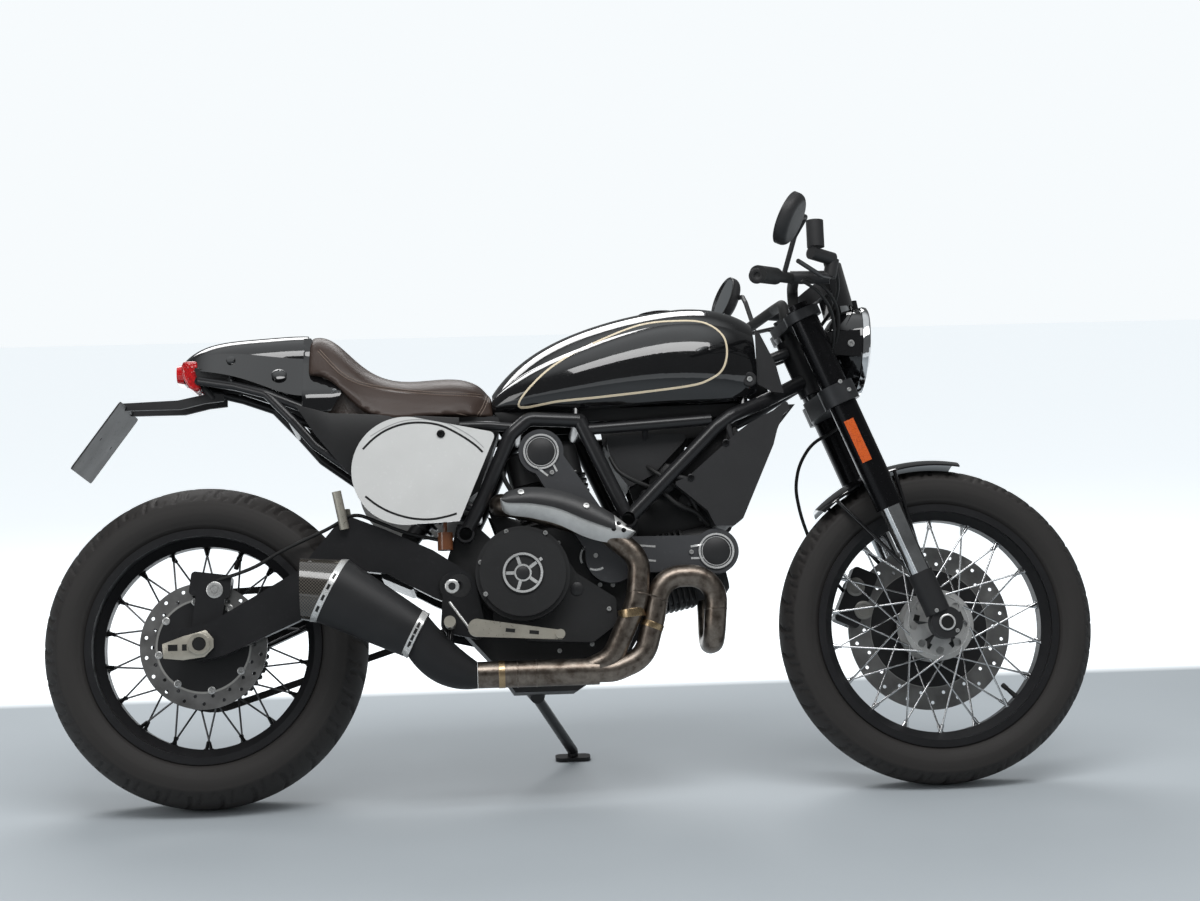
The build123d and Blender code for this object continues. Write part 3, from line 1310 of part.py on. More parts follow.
shock_line = Vector(*shock_high) - Vector(*shock_low)
with BuildPart() as shock:
    add(rod(shock_low, shock_high, shock_body_radius))
    for coil in range(shock_coils):
        centre = Vector(*shock_low) + shock_line * (
            shock_spring_start_share + coil * shock_spring_share / (shock_coils - 1)
        )
        with BuildSketch(Plane(origin=centre, z_dir=shock_line)):
            Circle(shock_spring_radius)
            Circle(shock_body_radius - overrun, mode=Mode.SUBTRACT)
        extrude(amount=shock_coil_radius / 2, both=True)
    for place in (shock_low, shock_high):
        near, far = -place[1] - shock_eye_radius, -place[1] + shock_eye_radius
        add(barrel(place[0], place[2], near, far, shock_eye_radius))
        near, far = -place[1] - shock_spring_radius, -place[1] + shock_spring_radius
        add(barrel(place[0], place[2], near, far, shock_pin_radius + bore_clearance), mode=Mode.SUBTRACT)
keep("rear_shock", shock.part)


# Brake calipers: two halves astride the disc, joined beyond its rim, on a carrier from the fork or the axle
def caliper(x, z, disc_radius, place, angle, length, depth, inner, outer):
    """A caliper in the disc's polar frame, opened for the disc with a running gap on each side."""
    turn = radians(angle)
    radius = disc_radius + running_gap + depth / 2 - caliper_overlap
    centre = (x + radius * cos(turn), z + radius * sin(turn))
    half_slot = disc_thickness / 2 + running_gap
    with BuildPart() as piece:
        with BuildSketch(right_plane(place - half_slot - inner)):
            with Locations(Location(centre, 0)):
                RectangleRounded(depth, length, caliper_corner_radius, rotation=angle)
        extrude(amount=inner + outer + half_slot * 2)
        add(
            barrel(x, z, place - half_slot, place + half_slot, disc_radius + running_gap),
            mode=Mode.SUBTRACT,
        )
    return piece.part


keep(
    "front_caliper",
    caliper(
        wheelbase, front_axle_z, front_disc_radius, -front_disc_place, front_caliper_angle,
        front_caliper_length, front_caliper_depth, caliper_outer_width, caliper_inner_width,
    ),
)
with BuildPart() as rear_brake:
    add(
        caliper(
            0, rear_axle_z, rear_disc_radius, rear_disc_place, rear_caliper_angle,
            rear_caliper_length, rear_caliper_depth, caliper_inner_width, caliper_outer_width,
        )
    )
    add(plate(carrier_outline, carrier_place, carrier_thickness))
    add(
        barrel(0, rear_axle_z, carrier_place - overrun, arm_right_place, axle_radius + bore_clearance),
        mode=Mode.SUBTRACT,
    )
keep("rear_caliper", rear_brake.part)

# Foot controls: hangers, pegs, folded passenger pegs and the brake pedal
with BuildPart() as hangers:
    for near in (-pin_left, pin_cap_right):
        with BuildSketch(right_plane(near + seat_gap)):
            with Locations((pivot_x, pivot_z)):
                Circle(hanger_pivot_radius)
            with Locations((peg_x, peg_z), (pedal_pivot_x, pedal_pivot_z)):
                Circle(hanger_peg_radius)
            make_hull()
            with Locations((pivot_x, pivot_z)):
                Circle(pivot_pin_radius + clamp_wall + seat_gap, mode=Mode.SUBTRACT)
            with Locations((pedal_pivot_x, pedal_pivot_z)):
                Circle(pedal_tip_radius + seat_gap, mode=Mode.SUBTRACT)
        extrude(amount=hanger_thickness)
keep("foot_hangers", hangers.part)
with BuildPart() as foot_controls:
    for side, pin_end in ((1, pin_left), (-1, pin_right)):
        peg_start = side * (pin_end - seat_gap)
        add(rod((peg_x, peg_start, peg_z), (peg_x, peg_start + side * peg_length, peg_z), peg_radius))
        arm_face = arm_right_place if side < 0 else arm_left_place
        arm_face += arm_thickness
        low = (folded_peg_low[0], side * (arm_face + folded_peg_low[1]), folded_peg_low[2])
        high = (folded_peg_high[0], side * (arm_face + folded_peg_high[1]), folded_peg_high[2])
        add(rod(low, high, folded_peg_radius))
keep("foot_pegs", coped(foot_controls.part, swingarm.part))
tip = (
    pedal_pivot_x + pedal_length * cos(radians(pedal_tilt)),
    pedal_pivot_z + pedal_length * sin(radians(pedal_tilt)),
)
with BuildPart() as pedal:
    add(
        barrel(
            pedal_pivot_x, pedal_pivot_z, pedal_place - pedal_thickness / 2,
            pedal_place + pedal_thickness / 2, pedal_boss_radius,
        ),
    )
    with BuildSketch(right_plane(pedal_place - pedal_thickness / 2)):
        with BuildLine():
            Polyline(
                (pedal_pivot_x, pedal_pivot_z + pedal_boss_radius),
                (tip[0], tip[1] + pedal_tip_radius),
                (tip[0], tip[1] - pedal_tip_radius),
                (pedal_pivot_x, pedal_pivot_z - pedal_boss_radius),
                close=True,
            )
        make_face()
    extrude(amount=pedal_thickness)
    add(
        barrel(
            tip[0], tip[1], pedal_place - pedal_thickness, pedal_place + pedal_thickness * 3,
            pedal_tip_radius,
        ),
    )
    add(barrel(pedal_pivot_x, pedal_pivot_z, case_half_width + seat_gap, pedal_place, pedal_tip_radius))
keep("brake_pedal", pedal.part)
with BuildPart() as cup:
    with BuildSketch(Plane.XY.offset(reservoir_z - reservoir_height / 2)):
        with Locations((reservoir_x, -reservoir_y)):
            Circle(reservoir_radius)
    extrude(amount=reservoir_height)
keep("brake_reservoir", cup.part)
with BuildPart() as cooler:
    with BuildSketch(Plane.XZ):
        with Locations((cooler_x, cooler_z)):
            RectangleRounded(cooler_length, cooler_height, tray_corner_radius, rotation=cooler_turn)
    extrude(amount=cooler_half_width, both=True)
keep("oil_cooler", cooler.part)

# Side stand
stand_floor_z = (stand_foot_y * lean_sin - sink) / lean_cos
stand_foot = Vector(stand_foot_x, stand_foot_y, stand_floor_z)
floor_up = Vector(0, -lean_sin, lean_cos)
ankle = stand_foot + floor_up * (stand_foot_thickness + stand_leg_radius)
with BuildPart() as stand:
    add(rod(stand_top, ankle, stand_leg_radius))
    add(
        rod(
            stand_top - stand_turn * stand_eye_reach, stand_top + stand_turn * stand_eye_reach,
            stand_eye_radius,
        ),
    )
    add(
        rod(
            stand_top - stand_turn * stand_lug_reach, stand_top + stand_turn * stand_lug_reach,
            stand_pin_radius + bore_clearance,
        ),
        mode=Mode.SUBTRACT,
    )
    with BuildSketch(Plane(origin=stand_foot, x_dir=(1, 0, 0), z_dir=floor_up)):
        RectangleRounded(stand_foot_length, stand_foot_width, stand_foot_width / 3)
    extrude(amount=stand_foot_thickness)
    with BuildSketch(Plane(origin=stand_foot, x_dir=(1, 0, 0), z_dir=floor_up)):
        Circle(stand_leg_radius)
    extrude(amount=stand_foot_thickness + stand_leg_radius)
keep("side_stand", stand.part)

# Fork: outer tubes, inner tubes, feet that hold the axle, and the clamps with their stem
with BuildPart() as outers:
    for side in (1, -1):
        low = steering_point(fork_offset, side * fork_place, fork_outer_low)
        high = steering_point(fork_offset, side * fork_place, fork_top)
        add(rod(low, high, fork_outer_radius))
        add(rod(high, high + steering_up * fork_cap_height, fork_cap_radius))
keep("fork_outer_tubes", outers.part)
axle_along = (Vector(wheelbase, 0, front_axle_z) - steering_foot).dot(steering_up)
with BuildPart() as inners:
    for side in (1, -1):
        low = steering_point(fork_offset, side * fork_place, fork_inner_low + seat_gap)
        high = steering_point(fork_offset, side * fork_place, fork_outer_low - seat_gap)
        add(rod(low, high, fork_inner_radius))
keep("fork_inner_tubes", inners.part)
with BuildPart() as feet:
    for side in (1, -1):
        low = steering_point(fork_offset, side * fork_place, axle_along + axle_collar_radius + overrun)
        high = steering_point(fork_offset, side * fork_place, fork_inner_low)
        add(rod(low, high, fork_foot_radius))
        near = side * fork_place - fork_foot_width / 2
        add(
            barrel(wheelbase, front_axle_z, near, near + fork_foot_width, fork_foot_radius + fork_foot_wall)
        )
    add(
        barrel(
            wheelbase, front_axle_z, -front_axle_reach, front_axle_reach, axle_bore_radius
        ), mode=Mode.SUBTRACT
    )
axle_collars = [
    (front_hub_right + seat_gap, fork_place - fork_foot_width / 2 - seat_gap),
    (-fork_place + fork_foot_width / 2 + seat_gap, -front_hub_left - seat_gap),
]
spindle = axle(wheelbase, front_axle_z, front_axle_reach, front_axle_reach, axle_collars, axle_bore_radius)
keep("fork_feet", feet.part + spindle)


def clamp(along, height):
    """A triple clamp: a plate around both fork tubes and the stem."""
    with BuildPart() as piece:
        with BuildSketch(steering_plane(along)):
            with BuildSketch(mode=Mode.PRIVATE) as rounds:
                with Locations((fork_offset, fork_place), (fork_offset, -fork_place)):
                    Circle(fork_outer_radius)
                Circle(head_tube_radius)
            add(make_hull(rounds.sketch.edges()))
            with Locations((fork_offset, fork_place), (fork_offset, -fork_place)):
                Circle(fork_outer_radius + clamp_wall)
            with Locations((fork_offset, fork_place), (fork_offset, -fork_place)):
                Circle(fork_outer_radius + bore_clearance, mode=Mode.SUBTRACT)
        extrude(amount=height)
    return piece.part


with BuildPart() as clamps:
    add(clamp(upper_clamp_low, upper_clamp_height))
    add(clamp(lower_clamp_low, lower_clamp_height))
    add(
        rod(
            steering_point(0, 0, lower_clamp_low),
            steering_point(0, 0, upper_clamp_low + upper_clamp_height + stem_nut_height), stem_radius,
        ),
    )
keep("triple_clamps", clamps.part)

# Handlebar, mirrors and hand controls
with BuildPart() as bars:
    for side in (1, -1):
        points = [(x, side * y, z) for x, y, z in bar_points]
        add(bent_tube(points, bar_radius, bar_bend))
        end = Vector(*points[-1])
        grip_start = end + (Vector(*points[-2]) - end).normalized() * grip_length
        add(rod(grip_start, end, grip_radius))
keep("handlebars", coped(bars.part, clamps.part))


def mirror_head(centre, face):
    """A round mirror: flat glass in a shell with a domed back."""
    with BuildPart() as piece:
        with BuildSketch(Plane(origin=centre, z_dir=face)):
            Circle(mirror_radius)
        extrude(amount=-mirror_thickness)
        fillet(piece.faces().sort_by(Axis(centre, face))[0].edges(), mirror_round)
    return piece.part


with BuildPart() as mirrors:
    for side, centre, face, stalk in mirror_rows:
        add(
            bent_tube([(x, side * y, z) for x, y, z in stalk], mirror_stalk_radius, mirror_stalk_radius * 2)
        )
        add(mirror_head((centre[0], side * centre[1], centre[2]), (face[0], side * face[1], face[2])))
keep("mirrors", coped(mirrors.part, bars.part))
with BuildPart() as controls:
    for side in (1, -1):
        pivot, knee, tip, perch = [
            (x, side * y, z) for x, y, z in (lever_pivot, lever_knee, lever_tip, housing_place)
        ]
        add(bent_tube([pivot, knee, tip], lever_thickness / 2, lever_bend))
        add(rod(pivot, perch, housing_radius))
        points = [(x, side * y, z) for x, y, z in bar_points]
        add(bent_tube(points, bar_radius + bore_clearance, bar_bend), mode=Mode.SUBTRACT)
    with BuildSketch(Plane.XY.offset(fluid_cup_z)):
        with Locations((fluid_cup_x, -fluid_cup_y)):
            Circle(fluid_cup_radius)
    extrude(amount=fluid_cup_height)
    add(rod(on_right(master_low), on_right(master_high), master_radius))
    add(rod(on_right(master_high), on_right(lever_pivot), master_radius))
keep("hand_controls", controls.part)

# Headlight, its lens, the fly screen and the instrument
lamp_plane = Plane(
    origin=(lamp_x, 0, lamp_z),
    x_dir=(0, 1, 0),
    z_dir=(cos(radians(lamp_tilt)), 0, sin(radians(lamp_tilt))),
)
with BuildPart() as lamp:
    with BuildSketch(lamp_plane):
        Circle(lamp_radius)
    with BuildSketch(lamp_plane.offset(-lamp_shell_depth * lamp_waist_share)):
        Circle(lamp_radius * lamp_waist_radius_share)
    with BuildSketch(lamp_plane.offset(-lamp_shell_depth)):
        Circle(lamp_back_radius)
    loft()
    add(both_sides(plate(lamp_ear_outline, lamp_ear_place, lamp_ear_thickness)))
    add(outers.part, mode=Mode.SUBTRACT)
keep("headlight_shell", lamp.part)
with BuildPart() as lens:
    with BuildSketch(lamp_plane.offset(seat_gap)):
        Circle(lamp_radius)
    with BuildSketch(lamp_plane.offset(lamp_lens_thickness)):
        Circle(lamp_radius - lamp_lens_thickness)
    loft()
keep("headlight_lens", lens.part)
with BuildPart() as screen:
    line = Vector(*screen_high) - Vector(*screen_low)
    half = screen_width / 2
    with BuildSketch(Plane(origin=screen_low, x_dir=(0, 1, 0), z_dir=line)):
        with BuildLine():
            ThreePointArc((-half, screen_wrap), (0, 0), (half, screen_wrap))
            Line((half, screen_wrap), (half, screen_wrap + screen_thickness))
            ThreePointArc(
                (half, screen_wrap + screen_thickness), (0, screen_thickness), (
                    -half, screen_wrap + screen_thickness
                )
            )
            Line((-half, screen_wrap + screen_thickness), (-half, screen_wrap))
        make_face()
    extrude(amount=line.length)
keep("fly_screen", screen.part)
dial_plane = Plane(
    origin=(dial_x, 0, dial_z),
    x_dir=(0, 1, 0),
    z_dir=(-sin(radians(dial_tilt)), 0, cos(radians(dial_tilt))),
)
with BuildPart() as dial:
    with BuildSketch(dial_plane):
        Circle(dial_radius)
    extrude(amount=-dial_depth)
keep("instrument", dial.part)

# Front fender: an arched shell that follows the tyre, with wire stays down to the fork feet
fender_low = front_tyre_radius + fender_gap
with BuildPart() as fender:
    start = radians(fender_front_angle)
    plane = Plane(
        origin=(wheelbase, 0, front_axle_z),
        x_dir=(cos(start), 0, sin(start)),
        z_dir=(sin(start), 0, -cos(start)),
    )
    with BuildSketch(plane):
        with BuildLine():
            half = fender_width / 2
            ThreePointArc(
                (fender_low - fender_crown, -half), (fender_low, 0), (fender_low - fender_crown, half)
            )
            Line((fender_low - fender_crown, half), (fender_low - fender_crown + fender_thickness, half))
            ThreePointArc(
                (fender_low - fender_crown + fender_thickness, half),
                (fender_low + fender_thickness, 0),
                (fender_low - fender_crown + fender_thickness, -half),
            )
            Line((fender_low - fender_crown + fender_thickness, -half), (fender_low - fender_crown, -half))
        make_face()
    revolve(
        axis=Axis((wheelbase, 0, front_axle_z), (0, -1, 0)),
        revolution_arc=fender_rear_angle - fender_front_angle,
    )
keep("front_fender", fender.part)

# Brake hoses: the front one down through the fork to its caliper, the rear one along the top of the arm
keep(
    "front_brake_hose", coped(hose(front_hose_points, hose_radius), controls.part, pieces["front_caliper"])
)
keep(
    "rear_brake_hose",
    coped(hose(rear_hose_points, hose_radius), pieces["rear_caliper"], pieces["brake_reservoir"]),
)

# Bosses and brackets join the pieces that they belong to
for name, start, end, radius, mirrored, met in boss_rows:
    boss = rod(start, end, radius)
    if mirrored:
        boss = both_sides(boss)
    pieces[name] = pieces[name] + coped(boss, *[pieces[other] for other in met])

# Every piece is leaned over on its side stand and set down with the box's bottom centre at the origin.
lift = Location((0, 0, sink)) * Location((0, 0, 0), (-lean, 0, 0))
for name, part in pieces.items():
    pieces[name] = Location((-parked_middle_x, -parked_middle_y, 0)) * lift * part
for name, part in pieces.items():
    part.label = name
    export_step(part, f"parts/{name}.step")
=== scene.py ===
import math

import bmesh
import bpy
from mathutils import Matrix, Vector
from mathutils.bvhtree import BVHTree
from mathutils.kdtree import KDTree


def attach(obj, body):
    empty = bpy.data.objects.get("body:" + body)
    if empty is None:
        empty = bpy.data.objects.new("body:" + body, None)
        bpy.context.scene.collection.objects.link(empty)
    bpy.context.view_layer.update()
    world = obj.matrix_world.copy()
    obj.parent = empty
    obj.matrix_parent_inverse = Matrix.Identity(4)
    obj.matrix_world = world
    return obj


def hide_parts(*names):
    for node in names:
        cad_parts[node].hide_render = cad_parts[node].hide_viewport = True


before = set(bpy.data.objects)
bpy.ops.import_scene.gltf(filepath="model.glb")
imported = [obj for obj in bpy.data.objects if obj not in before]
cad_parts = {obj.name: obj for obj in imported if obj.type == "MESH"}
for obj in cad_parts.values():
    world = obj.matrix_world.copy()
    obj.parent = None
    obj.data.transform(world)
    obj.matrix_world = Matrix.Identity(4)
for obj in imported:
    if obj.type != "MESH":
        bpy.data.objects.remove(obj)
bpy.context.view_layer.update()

# The camera stands at the machine's right, a little above the tank, about 4.3 m away. Its place, turn and
# lens were fitted to both wheels and the fork of the photograph.
camera_place = (-0.197, -4.5237, 1.0412)
yaw, pitch, roll = -0.05859, -0.08275, 0.02185
camera = bpy.data.cameras.new("camera")
camera.sensor_width = 36.0
camera.lens = 66.57
camera.clip_end = 60.0
eye = bpy.data.objects.new("camera", camera)
bpy.context.scene.collection.objects.link(eye)
eye.matrix_world = (
    Matrix.Translation(camera_place)
    @ Matrix.Rotation(yaw, 4, "Z")
    @ Matrix.Rotation(pitch, 4, "X")
    @ Matrix.Rotation(roll, 4, "Y")
    @ Matrix.Rotation(math.pi / 2, 4, "X")
)
bpy.context.scene.camera = eye
bpy.context.scene.view_settings.view_transform = "Standard"


# The studio: a pale grey floor that ends in a white surround behind the machine, one broad soft lamp above
# and two from the sides. In reflections the surround is white above and dimmer at the machine's height.
class Signal:
    """One value inside a finish. Sums and products of masks are written as they are meant."""

    def __init__(self, finish, socket):
        self.finish = finish
        self.socket = socket

    def sum_up(self, operation, first, second=0.0, clamp=False):
        settings = {"operation": operation, "use_clamp": clamp}
        return self.finish.node("ShaderNodeMath", settings, {0: first, 1: second})

    def __add__(self, other):
        return self.sum_up("ADD", self, other)

    def __sub__(self, other):
        return self.sum_up("SUBTRACT", self, other)

    def __rsub__(self, other):
        return self.sum_up("SUBTRACT", other, self)

    def __mul__(self, other):
        return self.sum_up("MULTIPLY", self, other)

    def __truediv__(self, other):
        return self.sum_up("DIVIDE", self, other)

    def __pow__(self, other):
        return self.sum_up("POWER", self, other)

    def __abs__(self):
        return self.sum_up("ABSOLUTE", self)

    def __mod__(self, other):
        return self.sum_up("FLOORED_MODULO", self, other)

    __radd__ = __add__
    __rmul__ = __mul__

    def over(self, edge, soft=0.0):
        """1 where the value is over the edge, and 0 below it, with a soft step between them."""
        if not soft:
            return self.sum_up("GREATER_THAN", self, edge)
        return self.sum_up("MULTIPLY", self - (edge - soft / 2), 1 / soft, clamp=True)

    def under(self, edge, soft=0.0):
        return 1 - self.over(edge, soft)

    def most(self, other):
        return self.sum_up("MAXIMUM", self, other)


class Finish:
    """One procedural finish: its nodes, and the shader that they feed."""

    def __init__(self, name, world=None, shader="Principled BSDF", **constants):
        self.material = world or bpy.data.materials.new(name)
        self.material.use_nodes = True
        self.tree = self.material.node_tree
        self.surface = self.tree.nodes[shader]
        for socket, value in constants.items():
            self.surface.inputs[socket.replace("_", " ")].default_value = value

    def node(self, kind, settings=None, inputs=None, output=0):
        """Adds one node: its settings first, then the values or links of its sockets."""
        made = self.tree.nodes.new(kind)
        for name, value in (settings or {}).items():
            setattr(made, name, value)
        for socket, value in (inputs or {}).items():
            if isinstance(value, Signal):
                self.tree.links.new(value.socket, made.inputs[socket])
            else:
                made.inputs[socket].default_value = value
        return Signal(self, made.outputs[output])

    def feed(self, socket, signal):
        self.tree.links.new(signal.socket, self.surface.inputs[socket])

    def place(self):
        """Where a point is on its own piece, in metres."""
        return self.node("ShaderNodeTexCoord", output="Object")

    def axes(self, place=None):
        """The three parts of a place, as single values."""
        split = self.node("ShaderNodeSeparateXYZ", inputs={0: place or self.place()})
        return [Signal(self, split.socket.node.outputs[number]) for number in range(3)]

    def noise(self, scale, detail=3.0, rough=0.5, stretch=None):
        place = self.place()
        if stretch:
            place = self.node("ShaderNodeVectorMath", {"operation": "MULTIPLY"}, {0: place, 1: stretch})
        inputs = {"Vector": place, "Scale": scale, "Detail": detail, "Roughness": rough}
        return self.node("ShaderNodeTexNoise", inputs=inputs)

    def cells(self, feature, scale):
        """Small cells, as in grain or a moulded reflector."""
        inputs = {"Vector": self.place(), "Scale": scale}
        return self.node("ShaderNodeTexVoronoi", {"feature": feature}, inputs)

    def mix(self, share, first, second):
        """Two colours, mixed by a share from 0 to 1."""
        first, second = [c if isinstance(c, Signal) else (*c, 1.0) for c in (first, second)]
        return self.node("ShaderNodeMix", {"data_type": "RGBA"}, {0: share, 6: first, 7: second}, 2)

    def bump(self, height, depth):
        """Raises the surface by a height from 0 to 1, times a depth in metres."""
        self.feed("Normal", self.node("ShaderNodeBump", inputs={"Height": height, "Distance": depth}))


floor_reach, floor_end, floor_half, floor_front = 30.0, 0.93, 4.0, -4.0
floor_mesh = bpy.data.meshes.new("floor")
corners = [(x * floor_reach, y * floor_reach, 0.0) for x, y in ((-1, -1), (1, -1), (1, 1), (-1, 1))]
floor_mesh.from_pydata(corners, [], [(0, 1, 2, 3)])
floor = bpy.data.objects.new("floor", floor_mesh)
bpy.context.scene.collection.objects.link(floor)
ground = Finish("studio_floor", Roughness=0.55, Emission_Strength=1.0)
across, deep, _ = ground.axes()
behind = deep.over(floor_end, 0.1)
beyond = behind.most(abs(across).over(floor_half, 0.5)).most(deep.under(floor_front, 0.5))
grey = ground.mix(ground.noise(1.2, 4.0), (0.40, 0.44, 0.47), (0.47, 0.51, 0.54))
ground.feed("Base Color", ground.mix(beyond, grey, (0.9, 0.93, 0.95)))
ground.feed("Emission Color", ground.mix(beyond, (0.0, 0.0, 0.0), (0.5, 0.53, 0.55)))
floor_mesh.materials.append(ground.material)

white, side_light, low_mirrored = (0.93, 0.965, 0.985, 1.0), 0.5, 0.13
sky = Finish("studio", bpy.data.worlds.new("studio"), "Background", Color=white)
bpy.context.scene.world = sky.material
camera_ray, glossy_ray, glass_ray = [
    sky.node("ShaderNodeLightPath", output=f"Is {kind} Ray") for kind in ("Camera", "Glossy", "Transmission")
]
_, _, height = sky.axes(sky.node("ShaderNodeTexCoord"))
from_low_to_high = {0: height, 1: 0.72, 2: 0.96, 3: low_mirrored, 4: 1.0}
mirrored = sky.node("ShaderNodeMapRange", {"interpolation_type": "SMOOTHSTEP"}, from_low_to_high)
lit = (mirrored - side_light) * glossy_ray.most(glass_ray) + side_light
sky.feed("Strength", (1 - lit) * camera_ray + lit)

# Columns: name, place, the point that it faces, width, depth and power
lamps = [
    ("key_lamp", (0.3, -1.8, 3.4), (0.0, 0.1, 0.5), 3.4, 1.2, 84.0),
    ("back_lamp", (-0.6, 2.4, 3.0), (0.0, 0.0, 0.6), 3.2, 1.2, 70.0),
    ("side_lamp", (-3.2, -2.6, 1.5), (0.0, 0.0, 0.6), 1.2, 1.8, 22.0),
]
for name, place, target, width, depth, power in lamps:
    lamp = bpy.data.lights.new(name, "AREA")
    lamp.shape = "RECTANGLE"
    lamp.size = width
    lamp.size_y = depth
    lamp.energy = power
    holder = bpy.data.objects.new(name, lamp)
    bpy.context.scene.collection.objects.link(holder)
    aim = (Vector(target) - Vector(place)).to_track_quat("-Z", "Y")
    holder.matrix_world = Matrix.Translation(place) @ aim.to_matrix().to_4x4()


# Frame: a trellis of welded steel tubes with bolted rear rails, powder coated in satin black. The foot
# hangers and the side stand are castings in the same coat.
def painted(name, shade, roughness, grain=0.0, grain_scale=900.0, dusty=0.25, **constants):
    """Enamel, powder coat or moulded plastic: a cloudy roughness, fine dust and a fine grain."""
    finish = Finish(name, **{"Specular_IOR_Level": 0.3, **constants})
    cloud = finish.noise(14.0, 5.0)
    dust = finish.noise(160.0, 2.0).over(0.66, 0.1)
    paler = [min(1.0, c * 1.5 + 0.004) for c in shade]
    finish.feed("Base Color", finish.mix(cloud * 0.35 + dust * dusty, shade, paler))
    finish.feed("Roughness", (cloud - 0.5) * 0.16 + dust * 0.1 + roughness)
    if grain:
        finish.bump(finish.noise(grain_scale, 2.0), grain)
    return finish


def dress(finish, *nodes):
    """Gives plain nodes their finish."""
    for node in nodes:
        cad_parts[node].data.materials[0] = finish.material


frame_enamel = painted("frame_enamel", (0.011, 0.011, 0.012), 0.33, 0.00003, 1300.0, Coat_Weight=0.2)
dress(frame_enamel, "frame", "rear_subframe", "foot_hangers", "side_stand")


# Tyres: moulded rubber with swept grooves from the crown to the shoulder, short ones between them, and
# fine rings on the walls. They are drawn upright, in metres, from the rear axle, and leaned with the machine.
mm = 0.001
lean, lean_place = math.radians(13.0), (-0.722, -0.2378, 0.0031)
leaned = Matrix.Translation(lean_place) @ Matrix.Rotation(-lean, 4, "X")
rear_axle, front_axle = (0.0, 0.315), (1.445, 0.31284)


def surface(name, verts, faces, sharp=38.0, bevel=0.0, steps=2):
    """A mesh with its normals outwards, small rounds on its sharp edges and smooth shading elsewhere."""
    mesh = bpy.data.meshes.new(name)
    work = bmesh.new()
    made = [work.verts.new(v) for v in verts]
    for face in faces:
        work.faces.new([made[number] for number in face])
    bmesh.ops.recalc_face_normals(work, faces=work.faces[:])
    if bevel:
        turn = math.radians(sharp)
        edges = [e for e in work.edges if len(e.link_faces) == 2 and e.calc_face_angle(0.0) > turn]
        rounds = {"offset": bevel * mm, "segments": steps, "profile": 0.5, "affect": "EDGES"}
        bmesh.ops.bevel(work, geom=edges, clamp_overlap=True, **rounds)
    work.to_mesh(mesh)
    work.free()
    mesh.shade_smooth()
    mesh.set_sharp_from_angle(angle=math.radians(sharp))
    return mesh


def fitted(mesh, finish, body, slot, *nodes):
    """Fits a finished piece on its body, in place of the plain nodes that it stands for."""
    part = bpy.data.objects.new(mesh.name, mesh)
    bpy.context.scene.collection.objects.link(part)
    part.matrix_world = leaned
    mesh.materials.append(finish.material)
    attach(part, body)
    if nodes:
        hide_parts(*nodes)
    return part


def arc(start, through, end, count):
    """Points on the circle through three places, from the first to the last."""
    (ax, ay), (bx, by), (cx, cy) = start, through, end
    d = 2 * (ax * (by - cy) + bx * (cy - ay) + cx * (ay - by))
    a2, b2, c2 = ax * ax + ay * ay, bx * bx + by * by, cx * cx + cy * cy
    ux = (a2 * (by - cy) + b2 * (cy - ay) + c2 * (ay - by)) / d
    uy = (a2 * (cx - bx) + b2 * (ax - cx) + c2 * (bx - ax)) / d
    radius = math.hypot(ax - ux, ay - uy)
    first, middle, last = [math.atan2(y - uy, x - ux) for x, y in (start, through, end)]
    turn = (last - first) % (2 * math.pi)
    if (middle - first) % (2 * math.pi) > turn:
        turn -= 2 * math.pi
    angles = [first + turn * number / (count - 1) for number in range(count)]
    return [(ux + radius * math.cos(a), uy + radius * math.sin(a)) for a in angles]


def turned(profile, axle, count, shift):
    """Turns a closed profile of (radius, place across) about a wheel's axle; shift moves points in radius."""
    verts, faces = [], []
    rows = len(profile)
    for step in range(count):
        angle = 2 * math.pi * step / count
        for row, (radius, across) in enumerate(profile):
            r = radius + shift(angle, row)
            verts.append((axle[0] + r * math.cos(angle), -across, axle[1] + r * math.sin(angle)))
    for step in range(count):
        here, there = step * rows, (step + 1) % count * rows
        for row in range(rows):
            after = (row + 1) % rows
            faces.append((here + row, here + after, there + after, there + row))
    return verts, faces


tyre_rubber = painted("tyre_rubber", (0.022, 0.020, 0.019), 0.68, 0.00012, 380.0)
tread_steps, crown_rows, wall_rows = 660, 57, 22
bead_inset, bead_lift, bead_depth = 0.0053, 0.0003, 0.0086
wall_rings = {3: 0.0006, 4: 0.0009, 12: 0.0003, 19: 0.0007, 20: 0.0007}
edge_width, edge_slope = 0.0016, 0.0018


